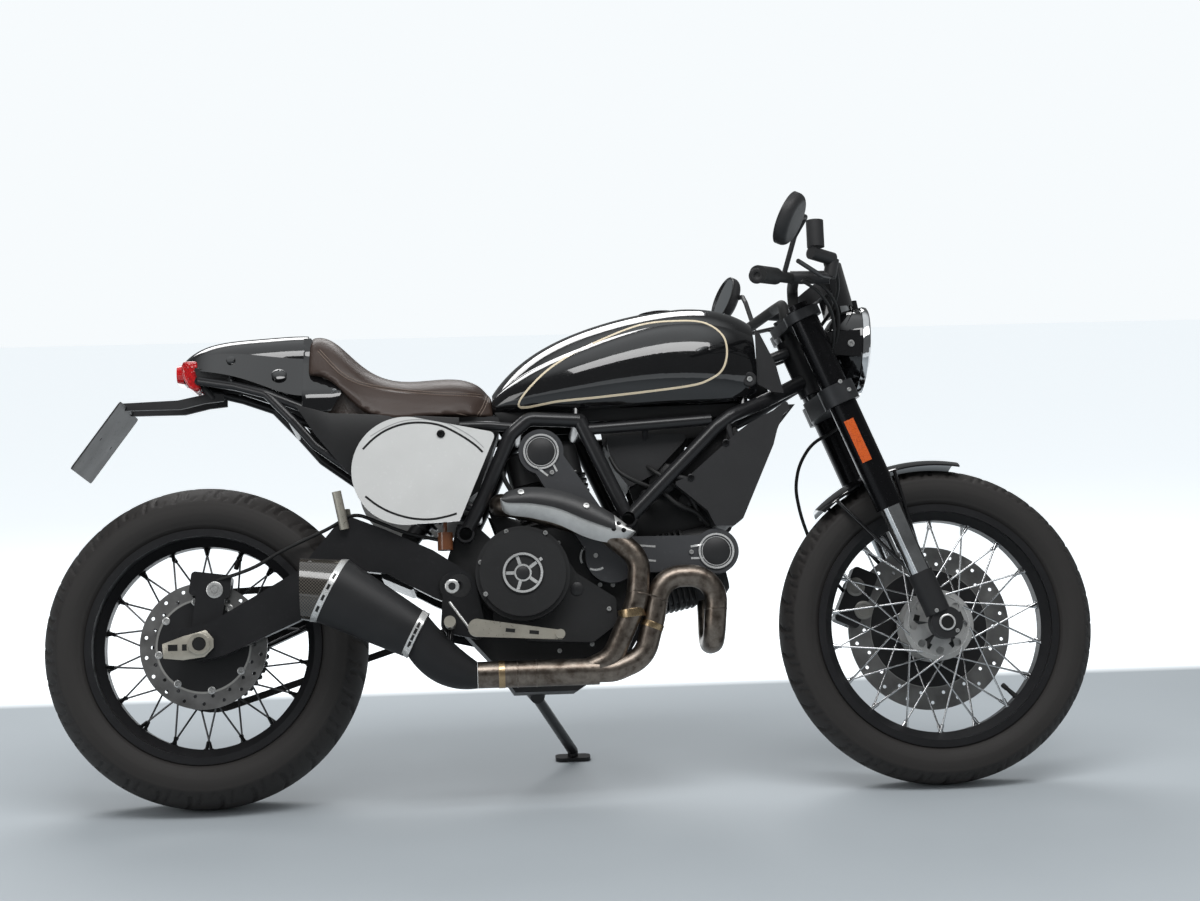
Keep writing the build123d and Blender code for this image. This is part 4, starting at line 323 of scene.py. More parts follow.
def road_tyre(name, axle, radius, width, rim_radius, rim_width, pitch_count, body, node):
    """A tyre with its tread: the crown's points near a groove's line are let in by the groove's depth."""
    bead = rim_width / 2 - bead_inset
    lip = rim_radius + bead_lift
    wall = rim_radius + (radius - rim_radius) * 0.4
    shoulder, shoulder_across = radius - width * 0.19, width * 0.475
    side = arc((lip, bead), (wall, width / 2), (shoulder, shoulder_across), wall_rows)
    side = [(r, a + wall_rings.get(number, 0.0)) for number, (r, a) in enumerate(side)]
    crown = arc((shoulder, shoulder_across), (radius, 0.0), (shoulder, -shoulder_across), crown_rows)
    inner = [(lip - bead_depth, -bead), (lip - bead_depth, bead)]
    profile = side + crown[1:-1] + [(r, -a) for r, a in reversed(side)] + inner
    first, last = len(side), len(side) + len(crown) - 3
    pitch = 2 * math.pi / pitch_count

    def groove(angle, row):
        """How far a point is let in. Columns: from, to, the line's share of a pitch, half width and depth."""
        if not first <= row <= last:
            return 0.0
        across = 1 - 2 * (row - first + 1) / (len(crown) - 1)
        out = abs(across)
        turn = (angle + (pitch / 2 if across > 0 else 0.0)) % pitch
        depth = 0.0
        lines = (
            (0.10, 0.88, 0.30 + 0.85 * (out - 0.1) - 0.55 * out * out, 0.0031, 0.0045),
            (0.52, 1.0, 0.78 + 0.30 * (out - 0.52), 0.0024, 0.0032),
            (0.80, 1.0, 0.18 + 0.9 * (out - 0.8), 0.0022, 0.0026),
        )
        for low, high, place, half, deep in lines:
            if low <= out <= high:
                gap = (turn - place * pitch + pitch / 2) % pitch - pitch / 2
                near = abs(gap) * radius
                fade = min(1.0, (out - low) / 0.05, (high - out) / 0.04 + 0.3)
                depth = max(depth, deep * fade * min(1.0, max(0.0, (half + edge_width - near) / edge_slope)))
        return -depth

    mesh = surface(name, *turned(profile, axle, tread_steps, groove), sharp=60.0)
    fitted(mesh, tyre_rubber, body, "tyre_rubber", node)
    dress(tyre_rubber, node)


# Columns: name, axle, radius, width, the rim's radius and width, pitches round it, body and node
road_tyre("rear_road_tyre", rear_axle, 0.315, 0.176, 0.228, 0.148, 30, "rear_wheel", "rear_tyre")
road_tyre("front_road_tyre", front_axle, 0.314, 0.112, 0.241, 0.090, 36, "front_wheel", "front_tyre")


# Spoked wheels: rims with a black coat, each wire screwed into a nipple in a dimple of the rim. The front
# wires are chromed and the rear ones black. A rubber valve with a ribbed cap stands by one of the nipples.
def bare_metal(name, shade, roughness, scale=500.0, **constants):
    """Aluminium or steel with fine marks of its working, and faint stains."""
    finish = Finish(name, **{"Metallic": 1.0, **constants})
    marks = finish.noise(scale, 2.0)
    stain = finish.noise(11.0, 5.0, 0.65)
    darker = [c * 0.62 for c in shade]
    finish.feed("Base Color", finish.mix(stain.over(0.42, 0.3) * 0.8, darker, shade))
    finish.feed("Roughness", (marks - 0.5) * 0.22 + (stain - 0.5) * 0.12 + roughness)
    finish.bump(marks, 0.00004)
    return finish


def tube(points, radius, sides=14, tapers=None):
    """A round tube along given points; its rings turn as little as they can from one to the next."""
    points = [Vector(p) for p in points]
    verts, faces = [], []
    across = (points[1] - points[0]).normalized().orthogonal().normalized()
    for number, point in enumerate(points):
        before = points[max(number - 1, 0)]
        after = points[min(number + 1, len(points) - 1)]
        along = (after - before).normalized()
        across = (across - along * across.dot(along)).normalized()
        up = along.cross(across)
        wide = radius * (tapers[number] if tapers else 1.0)
        for side in range(sides):
            turn = 2 * math.pi * side / sides
            verts.append(point + across * wide * math.cos(turn) + up * wide * math.sin(turn))
    for number in range(len(points) - 1):
        for side in range(sides):
            after = (side + 1) % sides
            low, high = number * sides, (number + 1) * sides
            faces.append((low + side, low + after, high + after, high + side))
    faces.append(tuple(reversed(range(sides))))
    faces.append(tuple(range(len(verts) - sides, len(verts))))
    return verts, faces


def gathered(solids):
    """Several solids as one list of places and faces."""
    verts, faces = [], []
    for some_verts, some_faces in solids:
        start = len(verts)
        verts.extend(some_verts)
        faces.extend(tuple(start + number for number in face) for face in some_faces)
    return verts, faces


def built(name, solids, finish, body, slot, *nodes, **edges):
    """Joins closed solids to one piece and fits it on its body."""
    return fitted(surface(name, *gathered(solids), **edges), finish, body, slot, *nodes)


rim_coat = painted("rim_coat", (0.011, 0.011, 0.012), 0.36, 0.00003)
cast_black = painted("engine_paint", (0.014, 0.014, 0.0145), 0.5, 0.00012, 500.0)
# Black steel for the nipples and screws; the same finish is painted shade in the heat shield's holes.
black_steel_and_hole_shade = painted("black_steel_and_hole_shade", (0.02, 0.02, 0.021), 0.3, Metallic=0.8)
grip_rubber = painted("grip_rubber", (0.012, 0.012, 0.012), 0.7, 0.00008)
dark_steel = bare_metal("dark_steel", (0.16, 0.16, 0.165), 0.38)
chrome = bare_metal("chrome", (0.78, 0.79, 0.8), 0.08)
brushed = bare_metal("brushed_aluminium", (0.62, 0.62, 0.61), 0.32, Metallic=0.6)
dress(rim_coat, "rear_rim", "front_rim")
dress(dark_steel, "rear_spokes")
dress(chrome, "front_spokes")
dress(cast_black, "rear_hub")
dress(brushed, "front_hub")
wire_pairs, foot_turn, head_turn = 9, 5.0, 51.0
foot_offset, head_offset, head_place, rim_depth, flange_edge = 0.0058, 0.004, 0.009, 0.0275, 0.008
nipple_radius, nipple_stops = 0.0036, (-0.002, 0.003, 0.0035, 0.018, 0.019)
nipple_tapers = (1.6, 1.6, 1.0, 0.95, 0.6)
valve_radius, valve_stops = 0.005, (-0.004, 0.004, 0.008, 0.026, 0.027, 0.038, 0.040)
valve_tapers = (1.5, 1.4, 1.0, 0.8, 1.0, 1.0, 0.7)

# Columns: wheel, axle, rim's radius, hub flange's radius and place, valve's turn, nipples' finish and slot
laced_wheels = [
    ("rear", rear_axle, 0.228, 0.062, 0.036, 70.0, black_steel_and_hole_shade, "dark_steel"),
    ("front", front_axle, 0.241, 0.070, 0.034, -43.0, chrome, "chrome"),
]
for wheel, axle, rim_radius, flange_radius, flange_place, valve_turn, finish, slot in laced_wheels:
    reach, start = rim_radius - rim_depth, flange_radius - flange_edge
    nipples = []
    for side in (1, -1):
        for number in range(wire_pairs):
            base = 360 * (number + (side > 0) / 2) / wire_pairs
            for lay in (1, -1):
                leave, arrive = math.radians(base + lay * foot_turn), math.radians(base + lay * head_turn)
                foot = Vector((
                    axle[0] + start * math.cos(leave), side * flange_place + lay * foot_offset,
                    axle[1] + start * math.sin(leave),
                ))
                head = Vector((
                    axle[0] + reach * math.cos(arrive), side * head_place + lay * head_offset,
                    axle[1] + reach * math.sin(arrive),
                ))
                way = (foot - head).normalized()
                nipples.append(tube([head + way * s for s in nipple_stops], nipple_radius, 10, nipple_tapers))
    built(f"{wheel}_nipples", nipples, finish, f"{wheel}_wheel", slot)
for wheel, axle, rim_radius, _, _, valve_turn, _, _ in laced_wheels:
    out = Vector((math.cos(math.radians(valve_turn)), 0.0, math.sin(math.radians(valve_turn))))
    root = Vector((axle[0], 0.0, axle[1])) + out * (rim_radius - 0.025)
    valve = tube([root - out * s for s in valve_stops], valve_radius, 16, valve_tapers)
    built(f"{wheel}_valve", [valve], grip_rubber, f"{wheel}_wheel", "grip_rubber")


# Fuel tank: pressed steel in deep black lacquer under a clear coat, with a cream coach line laid round a
# teardrop on each flank. A screwed knob closes the nose trim, and the flush cap has a dull black ring.
upright = leaned.inverted()


def skin(*nodes):
    """The faces of plain nodes, upright, to find where a trim lies on them."""
    solids = []
    for node in nodes:
        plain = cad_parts[node].data
        faces = [tuple(face.vertices) for face in plain.polygons]
        solids.append(([upright @ v.co for v in plain.vertices], faces))
    return BVHTree.FromPolygons(*gathered(solids))


def flowing(points, count, closed=False):
    """An even line through given points, with soft turns."""
    line, last = [], len(points) if closed else len(points) - 1
    for number in range(last):
        near = [points[(number + step) % len(points)] for step in (-1, 0, 1, 2)]
        if not closed and number == 0:
            near[0] = near[1]
        if not closed and number == last - 1:
            near[3] = near[2]
        a, b, c, d = [Vector(p) for p in near]
        for step in range(count):
            t = step / count
            bend = (2 * a - 5 * b + 4 * c - d) * t * t + (3 * b - a - 3 * c + d) * t ** 3
            line.append(0.5 * (2 * b + (c - a) * t + bend))
    return line if closed else line + [Vector(points[-1])]


def found(faces, x, z, side=-1, lift=0.0):
    """Where a line across the machine at (x, z) meets a skin, and the way that the skin faces."""
    across = Vector((0.0, -side, 0.0))
    outside, inside = 0.7, 0.2
    place, faced, _, _ = faces.ray_cast(Vector((x * mm, side * outside, z * mm)), across)
    if place is None:
        place, faced, _, _ = faces.find_nearest(Vector((x * mm, side * inside, z * mm)))
    if faced.dot(across) > 0:
        faced = -faced
    return place + faced * lift * mm, faced


def laid(faces, line, width, height, side=-1, closed=False):
    """A low raised band along a line of (x, z), laid on a skin, in millimetres."""
    verts, bands, count = [], [], len(line)
    for number, (x, z) in enumerate(line):
        before = line[number - 1] if closed or number else line[0]
        after = line[(number + 1) % count] if closed or number < count - 1 else line[-1]
        along = (Vector(after) - Vector(before)).normalized()
        for share, lift in ((-1.0, -0.8), (-0.85, height), (0.85, height), (1.0, -0.8)):
            reach = share * width / 2
            verts.append(found(faces, x - along.y * reach, z + along.x * reach, side, lift)[0])
    for number in range(count if closed else count - 1):
        here, there = number * 4, (number + 1) % count * 4
        for row in range(4):
            after = (row + 1) % 4
            bands.append((here + row, here + after, there + after, there + row))
    if not closed:
        bands += [(3, 2, 1, 0), tuple(range(len(verts) - 4, len(verts)))]
    return verts, bands


def lathed(place, out, rows, sides=28, closed=False):
    """Turns rows of (radius, height), in millimetres, about a line that stands out from a place."""
    out = Vector(out).normalized()
    across = out.orthogonal().normalized()
    up = out.cross(across)
    verts, faces = [], []
    for radius, height in rows:
        for side in range(sides):
            turn = 2 * math.pi * side / sides
            rim = across * math.cos(turn) + up * math.sin(turn)
            verts.append(Vector(place) + rim * radius * mm + out * height * mm)
    for row in range(len(rows) if closed else len(rows) - 1):
        low, high = row * sides, (row + 1) % len(rows) * sides
        for side in range(sides):
            after = (side + 1) % sides
            faces.append((low + side, low + after, high + after, high + side))
    if not closed:
        faces += [tuple(reversed(range(sides))), tuple(range(len(verts) - sides, len(verts)))]
    return verts, faces


def both(make):
    """What stands on the machine's right, and again on its left."""
    return [make(side) for side in (-1, 1)]


lacquer = painted("black_lacquer", (0.004, 0.004, 0.0045), 0.09, 0.0, Coat_Weight=1.0, Coat_Roughness=0.03)
cap_coat = painted("cap_anodising", (0.02, 0.02, 0.021), 0.25, 0.0, Metallic=0.7)
dress(lacquer, "fuel_tank")
dress(cap_coat, "filler_cap")
tank_skin = skin("fuel_tank")
eye_place = upright @ eye.matrix_world.translation


def seen(points, across):
    """Points of the side view, moved along the line of sight onto the tank's flank."""
    moved = []
    for x, z in points:
        sight = (Vector((x * mm, across * mm, z * mm)) - eye_place).normalized()
        place, _, _, _ = tank_skin.ray_cast(eye_place, sight)
        moved.append((place.x / mm, place.z / mm))
    return moved


coach_line = [
    (622, 758), (667, 817), (729, 859), (795, 889), (867, 914), (936, 920), (991, 915), (1026, 890),
    (1034, 855), (1023, 820), (994, 800), (958, 790), (879, 781), (781, 772), (702, 766),
]
line_width, line_height, line_across = 4.4, 0.5, -140.0
cream = painted("coach_line_cream", (0.62, 0.53, 0.38), 0.28, Coat_Weight=0.8)
teardrop = flowing(seen(coach_line, line_across), 9, closed=True)
stripes = both(lambda side: laid(tank_skin, teardrop, line_width, line_height, side, closed=True))
built("tank_coach_lines", stripes, cream, "chassis", "white_board")
bright_screw = bare_metal("screw_steel", (0.55, 0.55, 0.54), 0.3, Metallic=0.6)
matt_knob = painted("trim_knob", (0.02, 0.02, 0.021), 0.5, 0.00005)
knob_place, knob_rows = (1080, 806), [(15, -3), (15, 3), (13, 5), (8, 5), (7, 3.5)]
pin_rows = [(5.5, 0), (5.5, 5.5), (4.6, 6.2), (2.4, 6.2), (2.2, 4)]


def on_nose(rows, sides):
    """A knob or its screw on each side of the tank's nose."""
    return both(lambda side: lathed(found(tank_skin, *knob_place, side)[0], (0.15, side, 0), rows, sides))


built("tank_knobs", on_nose(knob_rows, 32), matt_knob, "chassis", "satin_plastic", bevel=0.6)
built("tank_knob_screws", on_nose(pin_rows, 12), bright_screw, "chassis", "bright_steel")


# Seat: foam under dark brown hide that is sewn from a top panel and two side panels. Twin rows of thread
# run along the top edges up over the hump, and a seam stands near each front end.
def faces_of(mesh):
    """A mesh's faces, to find where a trim lies on them."""
    return BVHTree.FromPolygons([v.co for v in mesh.vertices], [tuple(f.vertices) for f in mesh.polygons])


seat_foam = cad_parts["seat"].data.copy()
seat_foam.transform(upright)
blank = bpy.data.objects.new("seat_blank", seat_foam)
bpy.context.scene.collection.objects.link(blank)
even = blank.modifiers.new("even_skin", "REMESH")
even.mode = "VOXEL"
even.voxel_size = 0.005
soft = blank.modifiers.new("soft_edges", "SMOOTH")
soft.factor = 0.5
soft.iterations = 9
hide_mesh = bpy.data.meshes.new_from_object(blank.evaluated_get(bpy.context.evaluated_depsgraph_get()))
bpy.data.objects.remove(blank)
hide_faces = faces_of(hide_mesh)

# Columns: the seam's points in the side view, and its stitches between two points
seams = [
    ([(231, 892), (259, 857), (279, 837), (303, 823), (332, 814), (372, 807), (413, 800), (475, 793),
      (552, 792)], 5),
    ([(564, 802), (560, 785), (552, 764), (541, 746)], 6),
]
row_offset, half_stitch, thread_radius = 2.6, 1.5, 0.0007
seam_places, threads = [], []
for side in (-1, 1):
    for points, steps in seams:
        line = flowing(points, steps * 4)
        seam_places += [found(hide_faces, x, z, side)[0] for x, z in line]
        for offset in (-row_offset, row_offset):
            for number in range(1, len(line) - 1):
                along = (line[number + 1] - line[number - 1]).normalized()
                x, z = line[number] + Vector((-along.y, along.x)) * offset
                threads.append((x, z, along * half_stitch, side))
near_seam = KDTree(len(seam_places))
for number, place in enumerate(seam_places):
    near_seam.insert(place, number)
near_seam.balance()
swell_height, swell_reach, drawn_in, crease_depth, crease_width = 0.0032, 0.028, 0.0012, 0.0011, 0.0035
moved = []
for vertex in hide_mesh.vertices:
    gap = near_seam.find(vertex.co)[2]
    swell = swell_height * min(1.0, gap / swell_reach) ** 0.7
    crease = crease_depth * math.exp(-((gap / crease_width) ** 2))
    moved.append(vertex.co + vertex.normal * (swell - drawn_in - crease))
for vertex, place in zip(hide_mesh.vertices, moved):
    vertex.co = place
hide_mesh.name = "seat_hide"
hide_mesh.shade_smooth()
hide_mesh.materials.clear()
hide = painted("seat_hide", (0.035, 0.022, 0.017), 0.42, 0.0003, 300.0)
dress(hide, "seat")
pad = fitted(hide_mesh, hide, "chassis", "brown_leather", "seat")
rounder = pad.modifiers.new("rounder", "SUBSURF")
rounder.levels = 1
rounder.render_levels = 1
seat_skin = faces_of(hide_mesh)
stitches = []
for x, z, along, side in threads:
    ends = [found(seat_skin, x + along.x * way, z + along.y * way, side, 0.2)[0] for way in (-1, 1)]
    line = [ends[0].lerp(ends[1], share) for share in (0.0, 0.2, 0.8, 1.0)]
    stitches.append(tube(line, thread_radius, 6, (0.4, 1.0, 1.0, 0.4)))
thread = painted("seat_thread", (0.17, 0.13, 0.105), 0.6)
built("seat_stitches", stitches, thread, "chassis", "brown_leather")


# Tail: a lacquered hump over the seat's rear, with a red lamp of prismed plastic let into its end.
def slab(outline, near, thickness, side=1):
    """A flat plate with an outline of (x, z), from its inner face outwards, in millimetres."""
    count = len(outline)
    verts = [
        Vector((x * mm, side * (near + deep) * mm, z * mm)) for deep in (0.0, thickness) for x, z in outline
    ]
    faces = [tuple(range(count)), tuple(range(2 * count - 1, count - 1, -1))]
    faces += [(n, (n + 1) % count, (n + 1) % count + count, n + count) for n in range(count)]
    return verts, faces


red_lens = painted("red_lens", (0.5, 0.006, 0.008), 0.08, 0.0, Coat_Weight=1.0)
dress(lacquer, "tail_cowl")
dress(red_lens, "tail_light")
lens_outline = [(-37, 879), (-41, 866), (-37, 845), (-27, 826), (-12, 817), (-3, 823), (-6, 846), (-10, 879)]
lens_width = 116.0
red_glass = Finish("tail_red", Roughness=0.08, Coat_Weight=1.0)
prisms = red_glass.cells("F1", 260.0)
red_glass.feed("Base Color", red_glass.mix(prisms, (0.55, 0.008, 0.010), (0.26, 0.003, 0.004)))
red_glass.bump(prisms, 0.0006)
lens = slab(lens_outline, -lens_width / 2, lens_width)
built("tail_lens", [lens], red_glass, "chassis", "red_lens", bevel=5.0, steps=4)


# Number boards: oval plates of white lacquered plastic, each held by one black screw. Printed arcs follow
# their edges, and the middle stays blank.
def screws(faces, places, radius, height, side=-1, sides=6):
    """Screw heads with a sunk socket, each on the skin at its (x, z)."""
    heads = []
    for x, z in places:
        place, faced = found(faces, x, z, side)
        rows = [(radius, -1.0), (radius, height * 0.8), (radius * 0.86, height), (radius * 0.5, height)]
        heads.append(lathed(place, faced, rows + [(radius * 0.45, height * 0.3)], sides * 2))
    return gathered(heads)


board_white = painted("board_white", (0.52, 0.52, 0.51), 0.22, dusty=0.0, Coat_Weight=0.5)
# Black ink for the printed arcs. The same black also paints the shade inside slots, bores and windows.
ink_and_hole_shade = painted("ink_and_hole_shade", (0.012, 0.012, 0.012), 0.35)
board_grey = painted("board_grey_line", (0.30, 0.30, 0.30), 0.35)
dress(board_white, "number_boards")
board_skin = skin("number_boards")
upper_arc = [
    (318, 680), (339, 700), (364, 716), (397, 727), (433, 729), (470, 722), (506, 703), (534, 683),
    (549, 668),
]
lower_arc = [(321, 588), (345, 569), (373, 554), (409, 543), (445, 540), (478, 545), (496, 550)]
outer_arc = [(333, 705), (364, 722), (397, 733), (433, 735), (474, 729), (510, 711), (534, 694), (551, 677)]
arc_width, outer_width, ink_height = 4.6, 2.0, 0.4


def printed(points, width, side):
    """A printed line on a board."""
    return laid(board_skin, flowing(points, 6), width, ink_height, side)


arcs = [printed(points, arc_width, side) for side in (-1, 1) for points in (upper_arc, lower_arc)]
built("board_arcs", arcs, ink_and_hole_shade, "chassis", "caliper_black")
outer_arcs = both(lambda side: printed(outer_arc, outer_width, side))
built("board_outer_arcs", outer_arcs, board_grey, "chassis", "clamp_grey")
board_screws = both(lambda side: screws(board_skin, [(469, 706)], 8.0, 2.4, side, 12))
built("board_screws", board_screws, black_steel_and_hole_shade, "chassis", "dark_steel")


# Brakes: drilled steel tracks with fine turned scratches on black carriers, held by bobbins. The rear
# track's inner edge is bare and bright. Calipers are cast blocks with round piston covers, on rubber hoses.
def upright_place(finish):
    """Where a point is on the upright machine, whatever way it leans."""
    turned_back = {"Location": lean_place, "Rotation": (-lean, 0.0, 0.0)}
    settings = {"vector_type": "TEXTURE"}
    return finish.node("ShaderNodeMapping", settings, {"Vector": finish.place(), **turned_back})


def disc_finish(name, axle, track, bright_width):
    """Turned steel outside the track's inner edge, and black enamel on the carrier inside it."""
    finish = Finish(name)
    across, _, up = finish.axes(upright_place(finish))
    reach = ((across - axle[0]) ** 2.0 + (up - axle[1]) ** 2.0) ** 0.5
    outer = reach.over(track, 0.0008)
    bright = outer * reach.under(track + bright_width, 0.001)
    rings = finish.node("ShaderNodeTexNoise", {"noise_dimensions": "1D"}, {"W": reach, "Scale": 2600.0})
    stain = finish.noise(24.0, 4.0)
    steel = finish.mix(stain.over(0.4, 0.4), (0.20, 0.195, 0.19), (0.36, 0.355, 0.35))
    steel = finish.mix(bright, steel, (0.66, 0.65, 0.62))
    finish.feed("Base Color", finish.mix(outer, (0.012, 0.012, 0.013), steel))
    finish.feed("Metallic", outer)
    finish.feed("Roughness", rings * 0.2 + stain * 0.12 + 0.18)
    finish.bump(rings * outer, 0.00003)
    return finish


bobbin_count, bobbin_turn, bobbin_inset = 8, 10.0, 0.001
bobbin_rows = [(7.5, -0.5), (7.5, 1.2), (6.6, 1.8), (4.2, 1.8), (3.6, 0.6)]

# Columns: wheel, axle, the track's inner edge, its bright rim's width, the bobbins' place across and side
for wheel, axle, track, bright_width, near, side in (
    ("front", front_axle, 0.1188, 0.001, 65.5, 1), ("rear", rear_axle, 0.0882, 0.004, 71.2, -1),
):
    dress(disc_finish(f"{wheel}_disc_steel", axle, track, bright_width), f"{wheel}_disc")
    bobbins = []
    for number in range(bobbin_count):
        turn = math.radians(number * 360 / bobbin_count + bobbin_turn)
        reach = track - bobbin_inset
        centre = (axle[0] + reach * math.cos(turn), side * near * mm, axle[1] + reach * math.sin(turn))
        bobbins.append(lathed(centre, (0, side, 0), bobbin_rows, 20))
    built(f"{wheel}_bobbins", bobbins, bright_screw, f"{wheel}_wheel", "bright_steel")
caliper_enamel = painted("caliper_enamel", (0.012, 0.012, 0.013), 0.34, 0.00004)
cast_grey = painted("caliper_grey", (0.22, 0.215, 0.20), 0.4, 0.00006, 600.0, Metallic=0.5)
amber_cup = painted("amber_cup", (0.12, 0.045, 0.02), 0.2, 0.0, Coat_Weight=0.5)
hose_rubber = painted("hose_rubber", (0.012, 0.012, 0.012), 0.5)
dress(caliper_enamel, "front_caliper", "rear_caliper")
dress(amber_cup, "brake_reservoir")
dress(hose_rubber, "front_brake_hose", "rear_brake_hose")
rear_caliper_skin, front_caliper_skin = skin("rear_caliper"), skin("front_caliper")
boss_rows = [(16, -2), (16, 2.4), (14.5, 3), (9, 3), (9, 1.6), (6, 1.6), (5.4, 3)]
cover_rows = [(19, -1), (19, 2), (17.5, 3), (12, 3), (11, 1.8)]
boss = lathed(*found(rear_caliper_skin, 25, 421), boss_rows, 40)
built("rear_piston_cover", [boss], bright_screw, "chassis", "bright_steel")
for name, low_place, side in (("right", (1310, 352), -1), ("left", (1312, 352), 1)):
    places = [found(front_caliper_skin, x, z, side)[0] for x, z in ((1296, 400), low_place)]
    covers = [lathed(place, (0, side, 0), cover_rows, 36) for place in places]
    built(f"front_piston_covers_{name}", covers, cast_grey, "steering", "caliper_black")


# Drive chain: bushed steel links between two sprockets, wet with oil. Inner and outer plates take turns,
# and each pin is riveted over. It is one fixed loop, as in the plain part.
chain_pitch, chain_place = 15.875, 103.0
rear_sprocket, front_sprocket = Vector((0.0, 315.0)), Vector((588.0, 418.0))
rear_teeth, front_teeth = 46, 15
rear_reach = chain_pitch / (2 * math.sin(math.pi / rear_teeth))
front_reach = chain_pitch / (2 * math.sin(math.pi / front_teeth))
run = front_sprocket - rear_sprocket
turn = math.atan2(run.y, run.x)
wrap = math.asin((rear_reach - front_reach) / run.length)
straight = run.length * math.cos(wrap)
front_wrap, rear_wrap = math.pi - 2 * wrap, math.pi + 2 * wrap
loop_length = 2 * straight + front_reach * front_wrap + rear_reach * rear_wrap
link_count = 2 * round(loop_length / chain_pitch / 2)


def towards(angle):
    """A step of one millimetre in the side view."""
    return Vector((math.cos(angle), math.sin(angle)))


def on_loop(share):
    """A pin's place on the chain's loop by its share of the whole length."""
    way = share % 1.0 * loop_length
    high, low = turn + math.pi / 2 - wrap, turn - math.pi / 2 + wrap
    if way < straight:
        return rear_sprocket + towards(high) * rear_reach + towards(high - math.pi / 2) * way
    way -= straight
    if way < front_reach * front_wrap:
        return front_sprocket + towards(high - way / front_reach) * front_reach
    way -= front_reach * front_wrap
    if way < straight:
        return front_sprocket + towards(low) * front_reach + towards(low - math.pi / 2) * way
    return rear_sprocket + towards(low - (way - straight) / rear_reach) * rear_reach


plate_radius, plate_thickness, outer_plate, inner_plate, end_turn = 6.9, 1.7, 4.6, 2.7, 1.9
links = []
for number in range(link_count):
    a, b = on_loop(number / link_count), on_loop((number + 1) / link_count)
    along = (b - a).normalized()
    up = Vector((-along.y, along.x))
    outline = []
    for centre, facing in ((b, 1), (a, -1)):
        for step in range(-3, 4):
            bend = step / 3 * end_turn
            outline.append(centre + (along * math.cos(bend) + up * math.sin(bend)) * facing * plate_radius)
    lift = outer_plate if number % 2 else inner_plate
    for side in (1, -1):
        near = chain_place + side * lift - (0 if side > 0 else plate_thickness)
        links.append(slab(outline, near, plate_thickness))
    for radius, half in ((5.0, 2.6), (2.4, 7.0)):
        ends = [Vector((a.x * mm, (chain_place + s * half) * mm, a.y * mm)) for s in (-1, 1)]
        links.append(tube(ends, radius * mm, 12))
oiled = bare_metal("oiled_steel", (0.075, 0.073, 0.072), 0.34, scale=700.0)
dress(dark_steel, "rear_sprocket")
dress(oiled, "chain")
built("chain_links", links, oiled, "chassis", "dark_steel", "chain")


# Engine: cast cases in black powder coat, belt covers in dark grey, with machined silver rings on the
# clutch cover and over both belt pulleys. Plated socket screws hold the covers.
def circle(x, z, radius, first=0.0, last=360.0, count=56):
    """Points on a circle of the side view, in degrees from ahead upwards."""
    angles = [math.radians(first + (last - first) * n / count) for n in range(count + (last - first < 360))]
    return [Vector((x + radius * math.cos(a), z + radius * math.sin(a))) for a in angles]


def between(start, end, steps):
    """Even points from one place of the side view to another."""
    return [Vector(start).lerp(Vector(end), number / steps) for number in range(steps + 1)]


machined = bare_metal("machined_silver", (0.72, 0.72, 0.71), 0.26, scale=800.0, Metallic=0.45)
cover_paint = painted("cover_paint", (0.04, 0.041, 0.044), 0.42, 0.00005, 700.0)
dress(cast_black, "crankcase", "front_cylinder", "rear_cylinder", "clutch_cover", "oil_cooler")
dress(cover_paint, "belt_covers")
case_skin = skin("clutch_cover", "crankcase", "belt_covers")
clutch, rear_belt, front_belt, pulley = (619.5, 430.0), (663.0, 671.0), (999.0, 466.0), (763.0, 464.0)
trim_height, spoke_start, spoke_width, spoke_height, bar_width = 0.6, 17.0, 7.0, 0.7, 4.4

# Columns: centre, radius and width; a part of a ring also has its two ends in degrees and its steps
rings = [
    (clutch, 36.4, 5.0), (clutch, 15.0, 4.0), (rear_belt, 33.0, 4.2), (rear_belt, 28.0, 1.8),
    (front_belt, 33.0, 4.2), (front_belt, 28.0, 1.8),
    (pulley, 28.0, 4.4, 140, 205, 14), (pulley, 28.0, 4.4, 245, 300, 14),
]
bars = [
    ((652, 642), (675, 623)), ((685, 648), (693, 631)), ((975, 480), (949, 476)), ((975, 453), (949, 453)),
    ((838, 482), (880, 478)), ((859, 452), (880, 450)),
]
trims = [
    laid(case_skin, circle(*centre, radius, *part), width, trim_height, closed=not part)
    for centre, radius, width, *part in rings
]
for angle, reach in ((36.0, 46.0), (108.0, 34.5), (180.0, 34.5), (252.0, 34.5), (324.0, 34.5)):
    way, middle = towards(math.radians(angle)), Vector(clutch)
    spoke = between(middle + way * spoke_start, middle + way * reach, 6)
    trims.append(laid(case_skin, spoke, spoke_width, spoke_height))
trims += [laid(case_skin, between(*ends, 5), bar_width, trim_height) for ends in bars]
built("cover_trims", trims, machined, "chassis", "brushed_aluminium")
screw_places = [
    (590, 511), (665, 506), (539, 453), (547, 391), (692, 493), (771, 409), (796, 408), (785, 359),
    (688, 283), (752, 294), (683, 629), (950, 465), (763, 464),
]
heads = screws(case_skin, screw_places, 4.6, 3.6)
built("cover_screws", [heads], bright_screw, "chassis", "bright_steel")
caps = []
for centre, radius in ((clutch, 13.0), (rear_belt, 26.5), (front_belt, 26.5), ((724, 400), 13.0)):
    rows = [(radius, -1), (radius, 1.4), (radius - 1, 2.2), (1, 2.6)]
    caps.append(lathed(found(case_skin, *centre)[0], (0, -1, 0), rows, 44))
cap_black = painted("cover_cap", (0.018, 0.018, 0.019), 0.45, 0.00006, 700.0)
built("cover_caps", caps, cap_black, "chassis", "engine_paint")
fin_skin, fin_way, fin_width, fin_height = skin("rear_cylinder"), Vector((6, 2)), 2.2, 0.8
fin_tips = [
    laid(fin_skin, [centre + fin_way * share for share in (-1, 0, 1)], fin_width, fin_height)
    for centre in between((726, 634), (746, 597), 5)
]
built("fin_tips", fin_tips, machined, "chassis", "brushed_aluminium")
